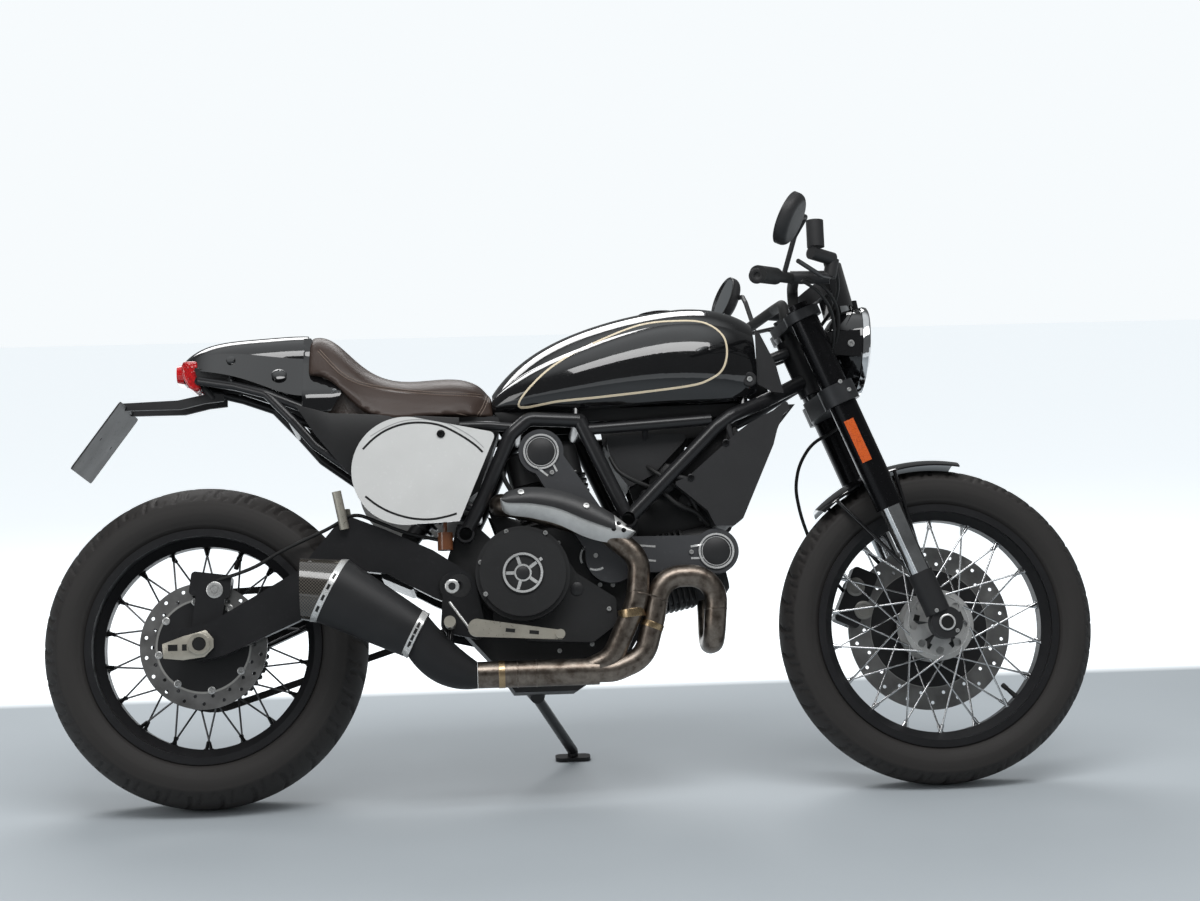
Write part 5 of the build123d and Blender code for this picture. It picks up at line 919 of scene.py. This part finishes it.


# Heat shield: a pressed silver cover that bulges over the rear pipe, drilled at its front end, with a
# black moulded panel screwed to its upper half. The drilled holes are black discs of painted shade.
def sheet(rows, thickness):
    """A skin between rows of places, given a thickness inwards in millimetres."""
    count, wide = len(rows), len(rows[0])
    verts = [place for row in rows for place in row]
    inner = [Vector((p.x, p.y - math.copysign(thickness * mm, p.y), p.z)) for p in verts]
    faces = []
    for row in range(count - 1):
        for step in range(wide - 1):
            a = row * wide + step
            quad = (a, a + 1, a + wide + 1, a + wide)
            faces += [quad, tuple(n + count * wide for n in reversed(quad))]
    rim = list(range(wide)) + [row * wide + wide - 1 for row in range(1, count)]
    rim += [(count - 1) * wide + step for step in range(wide - 2, -1, -1)]
    rim += [row * wide for row in range(count - 2, 0, -1)]
    for number, a in enumerate(rim):
        b = rim[(number + 1) % len(rim)]
        faces.append((a, b, b + count * wide, a + count * wide))
    return verts + inner, faces


shield_top = [(580, 574), (597, 589), (640, 595), (690, 588), (740, 570), (786, 545), (814, 524), (838, 503)]
shield_low = [(580, 571), (590, 545), (640, 535), (690, 521), (743, 495), (788, 483), (820, 486), (838, 501)]
shield_place, shield_rise, shield_thickness, shield_rows = 160.0, 21.0, 2.0, 14


def bulged(first, last, low_share, lift):
    """A shell between the shield's two edges: shares along it and across it, and its lift in millimetres."""
    tops, lows = flowing(shield_top, 8), flowing(shield_low, 8)
    steps = len(tops) - 1
    rows = []
    for number in range(round(first * steps), round(last * steps) + 1):
        row = []
        for step in range(shield_rows + 1):
            share = step / shield_rows * low_share
            x, z = tops[number].lerp(lows[number], share)
            rise = shield_rise * math.sin(math.pi * (0.06 + 0.88 * share)) ** 0.7
            row.append(Vector((x * mm, -(shield_place + rise + lift) * mm, z * mm)))
        rows.append(row)
    return sheet(rows, shield_thickness)


satin_silver = bare_metal("shield_silver", (0.58, 0.58, 0.57), 0.34, scale=300.0, Metallic=0.6)
shield_black = painted("shield_panel", (0.022, 0.022, 0.023), 0.36, 0.00004)
dress(satin_silver, "heat_shield")
cover, panel = bulged(0.0, 1.0, 1.0, 0.0), bulged(0.04, 0.76, 0.56, 2.4)
built("heat_shield_cover", [cover], satin_silver, "chassis", "brushed_aluminium", "heat_shield")
built("heat_shield_panel", [panel], shield_black, "chassis", "satin_plastic")
cover_faces, panel_faces = BVHTree.FromPolygons(*cover), BVHTree.FromPolygons(*panel)
# The holes are black discs laid on the cover: painted shade inside them, over the pipe behind.
hole_places = [(783, 521), (794, 531), (806, 519), (796, 508), (815, 505), (823, 513)]
hole_rows = [(4.6, -1.2), (4.6, 0.25), (4.0, 0.3), (3.6, 0.2)]
holes = [lathed(*found(cover_faces, x, z), hole_rows, 20) for x, z in hole_places]
built("heat_shield_holes", holes, black_steel_and_hole_shade, "chassis", "exhaust_black")
heads = screws(panel_faces, [(620, 584), (745, 554)], 6.5, 2.6)
built("heat_shield_screws", [heads], bright_screw, "chassis", "bright_steel")


# Exhaust: two stainless pipes gone brown and straw with heat, with clamp bands, weld beads and a black
# elbow. The silencer is a black can with a woven carbon end, held by two slotted silver straps.
scorched = Finish("scorched_steel", Metallic=1.0)
cloud, fine = scorched.noise(7.0, 5.0, 0.6), scorched.noise(60.0, 4.0, 0.6)
streaks = scorched.noise(420.0, 2.0)
brown = scorched.mix(cloud.over(0.45, 0.35), (0.10, 0.078, 0.062), (0.19, 0.16, 0.135))
pale = scorched.mix(fine.over(0.55, 0.25) * 0.6, brown, (0.32, 0.28, 0.24))
scorched.feed("Base Color", scorched.mix(fine.under(0.36, 0.12) * 0.7, pale, (0.06, 0.045, 0.035)))
scorched.feed("Roughness", fine * 0.3 + streaks * 0.08 + 0.16)
scorched.bump(fine * 0.6 + streaks * 0.3, 0.00012)
straw = bare_metal("clamp_bronze", (0.50, 0.37, 0.22), 0.3, scale=300.0)
stove_black = painted("stove_black", (0.012, 0.012, 0.013), 0.48, 0.00005)
dress(scorched, "exhaust_pipes")
dress(stove_black, "collector_box")
pipe_skin, band_deep, band_edge = skin("exhaust_pipes"), 3.0, 0.4


def round_pipe(x, y, z, aim, width, rise):
    """A band round a pipe near a place; aim is the way across the pipe in the side view."""
    place, aim = Vector((x, y, z)) * mm, Vector((aim[0], 0.0, aim[1])).normalized()
    sideways = Vector((0.0, 1.0, 0.0))
    for way in (aim, sideways, aim):
        ends = [pipe_skin.ray_cast(place, way * sign)[0] for sign in (1, -1)]
        place = (ends[0] + ends[1]) / 2
        radius = (ends[0] - ends[1]).length / 2 / mm + rise
    half = width / 2
    rows = [(radius - band_deep, -half), (radius - band_edge, -half), (radius, band_edge - half)]
    rows += [(reach, -height) for reach, height in reversed(rows)]
    return lathed(place, aim.cross(sideways), rows, 44, closed=True)


# Columns: a place in the pipe, the way across it, the band's width and its rise over the pipe
bands = [
    ((828, -158, 347), (1, 0.1), 16, 0.9), ((868, -140, 322), (1, -0.4), 12, 0.9),
    ((574, -158, 234), (0, 1), 12, 0.9),
]
beads = [
    ((883, -140, 372), (1, -0.3), 3, 0.7), ((991, -115, 352), (1, 0), 3, 0.7),
    ((839, -158, 390), (1, 0.1), 3, 0.7), ((640, -158, 236), (0, 1), 3, 0.7),
    ((604, -158, 235), (0, 1), 3, 0.7),
]
for name, rows, finish, edges in (
    ("exhaust_bands", bands, straw, {"bevel": 0.5}), ("exhaust_beads", beads, scorched, {}),
):
    solids = [round_pipe(*place, aim, width, rise) for place, aim, width, rise in rows]
    built(name, solids, finish, "chassis", "header_steel", **edges)
can = Finish("silencer_black", Specular_IOR_Level=0.35)
along, across, up = can.axes(upright_place(can))
cloth_place, cloth_lean, cloth_cell = 0.042, 0.52, 0.003
behind = (along - up * cloth_lean).under(cloth_place, 0.002)
weave = ((along / cloth_cell) % 2.0).over(1.0) + ((up / cloth_cell) % 2.0).over(1.0)
cloth = can.mix((weave % 2.0) * 0.8 + can.noise(300.0) * 0.2, (0.010, 0.009, 0.008), (0.075, 0.066, 0.055))
stove = can.noise(18.0, 4.0)
can.feed("Base Color", can.mix(behind, can.mix(stove, (0.008, 0.008, 0.009), (0.017, 0.017, 0.018)), cloth))
can.feed("Roughness", behind * -0.3 + stove * 0.14 + 0.42)
can.feed("Coat Weight", behind)
can.bump(can.noise(900.0) * (1 - behind), 0.00005)
dress(can, "silencer")
can_skin, strap_height, strap_sink, strap_steps = skin("silencer"), 1.2, -1.0, 72


def strap(low, high, across, width):
    """A strap round the silencer, in the plane through two points of the side view."""
    low, high = Vector((low[0], 0, low[1])), Vector((high[0], 0, high[1]))
    up = (high - low).normalized()
    along = Vector((up.z, 0, -up.x))
    centre = (low + high) / 2 + Vector((0, -across, 0))
    verts, faces = [], []
    for step in range(strap_steps):
        angle = 2 * math.pi * step / strap_steps
        out = up * math.cos(angle) + Vector((0, -1, 0)) * math.sin(angle)
        for share, lift in ((-1, strap_sink), (-0.9, strap_height), (0.9, strap_height), (1, strap_sink)):
            middle = (centre + along * share * width / 2) * mm
            place = can_skin.ray_cast(middle + out * 0.2, -out)[0]
            verts.append((place or middle + out * 0.05) + out * lift * mm)
    for step in range(strap_steps):
        here, there = step * 4, (step + 1) % strap_steps * 4
        faces += [(here + n, here + (n + 1) % 4, there + (n + 1) % 4, there + n) for n in range(4)]
    return verts, faces


# Columns: the strap's low and high end, its place across the machine and its width
strap_rows = [((219, 344), (283, 461), 196, 13), ((394, 283), (430, 352), 186, 14)]
slot_shares, slot_reach, slot_width, slot_height = (0.2, 0.37, 0.54, 0.71), 5.5, 6.0, 0.3
straps = [strap(*row) for row in strap_rows]
built("silencer_straps", straps, machined, "chassis", "brushed_aluminium")
strap_faces = BVHTree.FromPolygons(*gathered(straps))
# The slots are dark bands laid on the straps: painted shade inside them, over the black can behind.
slots = []
for low, high, _, _ in strap_rows:
    way = (Vector(high) - Vector(low)).normalized() * slot_reach
    for share in slot_shares:
        middle = Vector(low).lerp(Vector(high), share)
        slots.append(laid(strap_faces, [middle - way, middle, middle + way], slot_width, slot_height))
built("strap_slots", slots, ink_and_hole_shade, "chassis", "exhaust_black")


# Under the seat and tank: moulded black panels hide the tray and the rails, the cowl's lacquered corners
# run forward to the seat's edge, and flaps of worn hide hang over the seat's base. In the engine bay, flat
# black plates stand for a regulator box and an inner plate, and fill the other gaps as painted shade.
moulded = painted("moulded_black", (0.011, 0.011, 0.0115), 0.42, 0.00006)
satin_plastic = painted("satin_plastic", (0.018, 0.018, 0.019), 0.5, 0.00006)
dress(satin_plastic, "front_side_covers", "plate_bracket", "seat_tray", "airbox")
tail_skin = skin("tail_cowl")
worn_hide = Finish("worn_hide", Specular_IOR_Level=0.55)
wear, pores = worn_hide.noise(9.0, 4.0, 0.6), worn_hide.noise(900.0, 2.0)
grain = worn_hide.cells("DISTANCE_TO_EDGE", 420.0).over(0.16, 0.3)
folds = worn_hide.noise(26.0, 3.0, stretch=(1.0, 0.5, 2.4))
worn_hide.feed("Base Color", worn_hide.mix(wear.over(0.5, 0.5), (0.022, 0.016, 0.014), (0.056, 0.041, 0.034)))
worn_hide.feed("Roughness", wear * -0.28 + pores * 0.12 + 0.38)
worn_hide.bump(grain * 0.5 + pores * 0.25 + folds * 2.2, 0.0006)

# Columns: the piece, its plates' thickness, and each plate's outline and place across the machine
moulded_plates = [
    ("seat_side_panels", 3.0, [
        ([(186, 776), (254, 757), (420, 748), (505, 742), (505, 690), (340, 640), (297, 626), (262, 668),
          (224, 716)], 118.0),
    ]),
    ("tank_base_trims", 4.0, [
        ([(574, 757), (590, 728), (760, 734), (1060, 738), (1096, 752), (1092, 764)], 72.0),
    ]),
    ("tail_side_trays", 3.0, [
        ([(-14, 864), (60, 852), (120, 838), (186, 812), (206, 800), (206, 768), (150, 800), (66, 830),
          (-8, 838)], 62.0),
    ]),
    # These plates are partly a regulator box and an inner side plate, and partly painted shade: dark fills
    # where the gaps of the engine bay show only parts in shadow.
    ("inner_covers_and_shade_fills", 4.0, [
        ([(784, 714), (1010, 726), (1006, 700), (788, 688)], 60.0),
        ([(925, 612), (1008, 586), (1062, 694), (1050, 716), (1012, 712)], 84.0),
        ([(850, 560), (895, 588), (925, 606), (1000, 590), (1004, 520), (930, 508), (850, 505)], 52.0),
        ([(790, 690), (960, 700), (925, 612), (880, 590), (850, 560), (836, 604)], 46.0),
        ([(556, 566), (600, 548), (660, 530), (664, 512), (575, 512)], 60.0),
        ([(1090, 724), (1150, 764), (1178, 764), (1128, 704)], 40.0),
    ]),
]
for name, thickness, plates in moulded_plates:
    solids = [slab(outline, near, thickness, side) for outline, near in plates for side in (-1, 1)]
    built(name, solids, moulded, "chassis", "satin_plastic", bevel=1.0)


def cowl_screw(side):
    """A chromed screw in the cowl's corner."""
    out = abs(found(tail_skin, 204, 802, side)[0].y) + 0.001
    rows = [(6, -1), (6, 2.2), (5, 3), (2.6, 3), (2.2, 1)]
    return lathed((0.263, side * out, 0.800), (0, side, 0), rows, 24)


def cowl_caps(side):
    """Two low caps on the cowl's flank, each square to four places round it."""
    caps = []
    for x, z, radius in ((154, 839, 15), (58, 876, 9)):
        near = [found(tail_skin, x + dx, z + dz, side) for dx, dz in ((-17, 4), (17, -4), (-15, -6), (15, 6))]
        place = sum((p for p, _ in near), Vector()) / 4
        faced = sum((n for _, n in near), Vector()).normalized()
        caps.append(lathed(place, faced, [(radius, -6), (radius, 4), (radius * 0.88, 5.5), (1, 6.4)], 32))
    return gathered(caps)


def cowl_corner(side):
    """The cowl's lower front corner, from its flank forward to the seat's edge."""
    back, low, high, thickness = 200, 762, 922, 3.0
    rows = []
    for step in range(15):
        z = low + (high - low) * step / 14
        out = abs(found(tail_skin, 204, min(z, 915), side)[0].y) / mm
        reach = 279 - (z - 800) * 0.53 if z > 800 else 254 + (z - 759) * 0.61
        lift = 1.0 if z < 880 else 0.4
        across = side * (out + lift) * mm
        rows.append([Vector(((back + (reach - back) * n / 5) * mm, across, z * mm)) for n in range(6)])
    return sheet(rows, thickness)


def seat_flap(side):
    """A flap of hide beside the base, with a slight swell."""
    back, length, widest, swell, sunk, thickness = 234, 200, 116.0, 2.5, 0.6, 4.0
    rows = []
    for step in range(24):
        x = back + length * step / 23
        high = 876 - (x - 222) * 0.62 if x < 380 else 778
        low = 760 - (x - back) * 0.05
        out = min(abs(found(seat_skin, x, high, side)[0].y) / mm, widest) - sunk
        row = []
        for number in range(8):
            across = side * (out + swell * math.sin(math.pi * number / 7)) * mm
            row.append(Vector((x * mm, across, (high + (low - high) * number / 7) * mm)))
        rows.append(row)
    return sheet(rows, thickness)


built("cowl_screws", both(cowl_screw), chrome, "chassis", "chrome")
built("cowl_caps", both(cowl_caps), lacquer, "chassis", "gloss_black")
built("cowl_corners", both(cowl_corner), lacquer, "chassis", "gloss_black", bevel=0.6)
built("seat_flaps", both(seat_flap), worn_hide, "chassis", "brown_leather")


# Between frame and engine: the throttle bodies with their rubber stubs, and four leads, all black. Two
# socket screws hold each moulded side cover.
side_skin, lead_radius = skin("front_side_covers"), 0.0045

# Columns: where the body's axis starts, its way, its sides, and its rows of (radius, height)
body_rows = [
    ((0.905, -0.075, 0.618), (0, 1, 0), 32,
     [(25, 0), (31, 3), (31, 40), (27, 44), (27, 106), (31, 110), (31, 147), (25, 150)]),
    ((0.944, -0.085, 0.566), (0.2, 1, 0.1), 24, [(12, 0), (16, 3), (16, 60), (12, 63)]),
    ((0.868, -0.088, 0.582), (0, 1, 0), 20, [(9, 0), (12, 2), (12, 40), (9, 42)]),
]
bodies = [lathed(place, out, rows, sides) for place, out, sides, rows in body_rows]
built("throttle_bodies", bodies, moulded, "chassis", "satin_plastic", bevel=0.8)
lead_routes = [
    [(0.875, -0.088, 0.60), (0.90, -0.100, 0.585), (0.93, -0.102, 0.56), (0.965, -0.092, 0.545),
     (0.99, -0.08, 0.52)],
    [(0.86, -0.06, 0.655), (0.885, -0.09, 0.63), (0.925, -0.1, 0.60), (0.955, -0.095, 0.575),
     (0.975, -0.085, 0.53)],
    [(0.60, -0.095, 0.70), (0.585, -0.105, 0.66), (0.59, -0.11, 0.62), (0.61, -0.105, 0.585)],
    [(0.80, -0.085, 0.66), (0.815, -0.1, 0.63), (0.845, -0.105, 0.61), (0.88, -0.1, 0.595)],
]
leads = [tube(flowing(route, 6), lead_radius) for route in lead_routes]
built("engine_leads", leads, hose_rubber, "chassis", "hose_rubber")
heads = both(lambda side: screws(side_skin, [(1024, 680), (954, 611)], 7.0, 3.0, side))
built("side_cover_screws", heads, black_steel_and_hole_shade, "chassis", "dark_steel")


# Swinging arm: a cast arm whose pivot and axle show in bright rings. The axle runs through a champagne
# adjuster plate on each side. The pedal and the folded peg are of the same pale cast metal.
champagne = bare_metal("champagne_alloy", (0.50, 0.47, 0.40), 0.32, scale=300.0, Metallic=0.6)
bright_steel = bare_metal("bright_steel", (0.6, 0.6, 0.59), 0.28)
dress(frame_enamel, "swingarm")
dress(bright_steel, "rear_axle")
dress(dark_steel, "rear_shock")
dress(champagne, "brake_pedal", "foot_pegs")
pivot, _ = found(skin("swingarm"), 494, 412)
ring = lathed(pivot, (0, -1, 0), [(26, -2), (26, 4), (24, 6), (18, 6), (17, 2)], 44)
nut = lathed(pivot, (0, -1, 0), [(14, -2), (14, 7), (12.6, 8), (7.5, 8), (6.8, 3)], 12)
built("pivot_ring", [ring], moulded, "chassis", "satin_plastic")
built("pivot_nut", [nut], machined, "chassis", "bright_steel")
adjuster = [(-70, 317), (-68, 289), (-30, 285), (10, 290), (27, 307), (27, 324), (13, 341), (-32, 330)]
adjuster_place, adjuster_thickness, slot_depth = 136.5, 3.5, 0.3
ring_rows = [(21, -1), (21, 3), (19.5, 4.2), (13.2, 4.2), (12.8, 1)]
# The axle's bore and the plates' slots are flat dark patches: painted shade inside them.
bore_rows = [(12.6, 0), (12.6, 2.6), (1, 2.7)]
plates, rings, bores = [], [], []
for side in (-1, 1):
    outside = adjuster_place + adjuster_thickness
    centre, out = (0, side * outside * mm, rear_axle[1]), (0, side, 0)
    plates.append(slab(adjuster, adjuster_place, adjuster_thickness, side))
    bores.append(lathed(centre, out, bore_rows, 32))
    rings.append(lathed(centre, out, ring_rows, 44, True))
    for x, width in ((-50, 18), (-28, 9)):
        ends = [(x - width / 2, 303), (x + width / 2, 303), (x + width / 2, 315), (x - width / 2, 315)]
        bores.append(slab(ends, outside, slot_depth, side))
built("axle_adjusters", plates, champagne, "chassis", "brushed_aluminium", bevel=0.8)
built("axle_rings", rings, champagne, "chassis", "brushed_aluminium")
built("adjuster_slots", bores, ink_and_hole_shade, "chassis", "dark_steel")
pedal_skin, pedal_way, pedal_width, pedal_height = skin("brake_pedal"), Vector((9, -1)), 8.0, 0.3
# The pedal's slots are dark bands laid on it: painted shade inside them.
pedal_slots = [
    laid(pedal_skin, [Vector(centre) + pedal_way * share for share in (-1, 0, 1)], pedal_width, pedal_height)
    for centre in ((592, 319), (637, 314))
]
built("pedal_slots", pedal_slots, ink_and_hole_shade, "chassis", "dark_steel")
rod = tube([(0.520, -0.178, 0.318), (0.478, -0.165, 0.378)], 0.0028, 12)
built("pedal_rod", [rod], bright_screw, "chassis", "bright_steel")


# Fork: black outer tubes over hard chromed sliders, with cast feet that clamp the hollow axle. Amber
# reflectors are glued to the tubes. The lower clamp is a dull grey casting with two pinch screws.
fork_anodising = painted("fork_anodising", (0.008, 0.008, 0.009), 0.22, 0.0, Metallic=0.6)
clamp_anodising = painted("clamp_anodising", (0.035, 0.036, 0.038), 0.38, 0.00003, Metallic=0.5)
foot_casting = painted("foot_casting", (0.016, 0.016, 0.017), 0.5, 0.00008, 500.0)
dress(fork_anodising, "fork_outer_tubes")
dress(chrome, "fork_inner_tubes")
dress(clamp_anodising, "triple_clamps")
dress(foot_casting, "fork_feet")
dress(lacquer, "front_fender")
leg_skin, clamp_skin, foot_skin = skin("fork_outer_tubes"), skin("triple_clamps"), skin("fork_feet")
amber = Finish("reflector_amber", Roughness=0.12, Coat_Weight=1.0)
facets = amber.cells("F1", 520.0)
amber.feed("Base Color", amber.mix(facets, (0.75, 0.13, 0.008), (0.42, 0.05, 0.004)))
amber.bump(facets, 0.0005)
reflector_line, reflector_width, reflector_height = between((1303, 633), (1270, 716), 10), 20.0, 3.5
reflectors = both(lambda side: laid(leg_skin, reflector_line, reflector_width, reflector_height, side))
built("fork_reflectors", reflectors, amber, "steering", "red_lens")
pinch = both(lambda side: screws(clamp_skin, [(1262, 797), (1272, 775)], 4.2, 3.0, side))
pinch += both(lambda side: screws(foot_skin, [(1424, 336), (1464, 296)], 4.0, 2.6, side))
built("fork_screws", pinch, bright_screw, "steering", "bright_steel")
axle_end, axle_x, axle_z = 0.1225, 1.445, 0.3128


def on_axle(rows, sides, closed):
    """A turned part on each end of the front axle."""
    return both(lambda side: lathed((axle_x, side * axle_end, axle_z), (0, side, 0), rows, sides, closed))


end_rings = on_axle([(16, -3), (16, 1.2), (14.8, 2), (12.6, 2), (12.2, -3)], 44, True)
# The bore is a flat dark disc: painted shade inside the hollow axle's end.
end_bores = on_axle([(12.4, -2), (12.4, 0.6), (1, 0.7)], 32, False)
built("front_axle_rings", end_rings, machined, "steering", "bright_steel")
built("front_axle_bores", end_bores, ink_and_hole_shade, "steering", "dark_steel")
hub_skin, hub_centre = skin("front_hub"), Vector((axle_x, axle_z)) / mm
# The hub's windows are dark bands laid on it: painted shade inside them.
window_count, window_turn, window_reach, window_half, window_width, window_height = 5, 20, 46, 9, 13.0, 0.4
windows = []
for side in (-1, 1):
    for number in range(window_count):
        out = towards(math.radians(360 * number / window_count + window_turn))
        centre, way = hub_centre + out * window_reach, Vector((-out.y, out.x)) * window_half
        line = [centre + way * share for share in (-1, -0.4, 0.4, 1)]
        windows.append(laid(hub_skin, line, window_width, window_height, side))
built("front_hub_windows", windows, ink_and_hole_shade, "front_wheel", "dark_steel")
hub_line, hub_width, hub_height = circle(*hub_centre, 61.0), 2.2, 1.2
hub_rings = both(lambda side: laid(hub_skin, hub_line, hub_width, hub_height, side, closed=True))
built("front_hub_rings", hub_rings, machined, "front_wheel", "brushed_aluminium")


# Headlight: a steel bowl in black lacquer, closed by a chromed rim and fluted clear glass over a bright
# reflector with a round bulb shield. The rim and the shield shine.
lamp_centre, lamp_tilt = Vector((1.318, 0.0, 0.877)), math.radians(-5.0)
ahead = Vector((math.cos(lamp_tilt), 0.0, math.sin(lamp_tilt)))
rim_rows = [(84, -4), (88, -3), (90, 3), (89, 9), (85, 12), (81, 11), (80, 6), (80, 0)]
bowl_rows = [(79, 1), (70, 2), (50, 3), (28, 3.5), (22, 4), (22, 9), (18, 11), (1, 11.4)]
glass_rows = [
    (80.5, 5), (80.5, 8), (76, 12.5), (64, 16), (44, 19), (20, 21), (1, 21.5), (1, 19.5), (20, 19), (44, 17),
    (64, 14), (76, 10.5),
]
clear = Finish("clear_glass", Roughness=0.03, Transmission_Weight=1.0, IOR=1.45)
flutes = clear.node("ShaderNodeTexWave", {"bands_direction": "Y"}, {"Vector": clear.place(), "Scale": 42.0})
clear.feed("Base Color", clear.mix(flutes * 0.2, (0.95, 0.97, 0.98), (0.85, 0.88, 0.90)))
clear.bump(flutes, 0.0002)
dress(lacquer, "headlight_shell", "fly_screen")
dress(clear, "headlight_lens")
rim, bowl = lathed(lamp_centre, ahead, rim_rows, 96, True), lathed(lamp_centre, ahead, bowl_rows, 72)
glass = lathed(lamp_centre, ahead, glass_rows, 96, True)
built("headlight_rim", [rim], chrome, "steering", "chrome")
built("headlight_reflector", [bowl], chrome, "steering", "chrome")
built("headlight_glass", [glass], clear, "steering", "lamp_glass", "headlight_lens")
shell_skin = skin("headlight_shell")
bracket_screws = both(lambda side: screws(shell_skin, [(1290, 877)], 7.0, 4.0, side))
built("headlight_screws", bracket_screws, bright_screw, "steering", "bright_steel")


# Controls: levers in satin black, turned caps on the bar ends, and round mirrors whose glass faces the
# rider. Four cables drop in loops between the bars and the lamp.
dress(satin_plastic, "mirrors", "hand_controls", "instrument")
dress(grip_rubber, "handlebars")
silvered = Finish("mirror_glass", Metallic=1.0)
haze = silvered.noise(30.0, 3.0)
silvered.feed("Base Color", silvered.mix(haze, (0.80, 0.84, 0.87), (0.88, 0.91, 0.93)))
silvered.feed("Roughness", haze * 0.04 + 0.01)

# Columns: the middle of the mirror's face, and the way that it faces
mirror_rows = [
    ((1.130, -0.364, 1.068), (-0.83, 0.28, 0.45)), ((1.090, 0.364, 1.069), (-0.90, -0.28, 0.33)),
]
face_rows = [(47, -1), (47, 0.5), (46, 0.9), (1, 1.0)]
edge_rows = [(52, -2), (52, 1.4), (50.5, 2.4), (48, 2.2), (47, 0.2), (47, -2)]
glasses = [lathed(place, faced, face_rows, 64) for place, faced in mirror_rows]
edges = [lathed(place, faced, edge_rows, 64, True) for place, faced in mirror_rows]
built("mirror_glasses", glasses, silvered, "steering", "chrome")
built("mirror_rims", edges, moulded, "steering", "satin_plastic")
bar_skin, bar_end = skin("handlebars"), (1066, 951)
cap_rows = [(15, -3), (15, 2), (13, 4), (6, 4), (5.4, 1)]
end_caps = both(lambda side: lathed(found(bar_skin, *bar_end, side)[0], (0, side, 0), cap_rows, 28))
built("bar_end_caps", end_caps, moulded, "steering", "satin_plastic", bevel=0.5)
cable_routes = [
    [(1.185, -0.20, 0.985), (1.225, -0.175, 0.975), (1.258, -0.13, 0.94), (1.262, -0.09, 0.89),
     (1.24, -0.06, 0.83)],
    [(1.175, -0.23, 0.975), (1.215, -0.20, 0.955), (1.245, -0.15, 0.92), (1.25, -0.10, 0.87),
     (1.225, -0.055, 0.82)],
    [(1.19, 0.20, 0.985), (1.23, 0.17, 0.975), (1.262, 0.12, 0.93), (1.262, 0.08, 0.88),
     (1.235, 0.05, 0.825)],
    [(1.17, 0.23, 0.97), (1.21, 0.20, 0.95), (1.24, 0.15, 0.91), (1.245, 0.09, 0.86), (1.22, 0.045, 0.81)],
]
cable_radius = 0.0032
cables = [tube(flowing(route, 6), cable_radius, 12) for route in cable_routes]
built("control_cables", cables, hose_rubber, "steering", "hose_rubber")
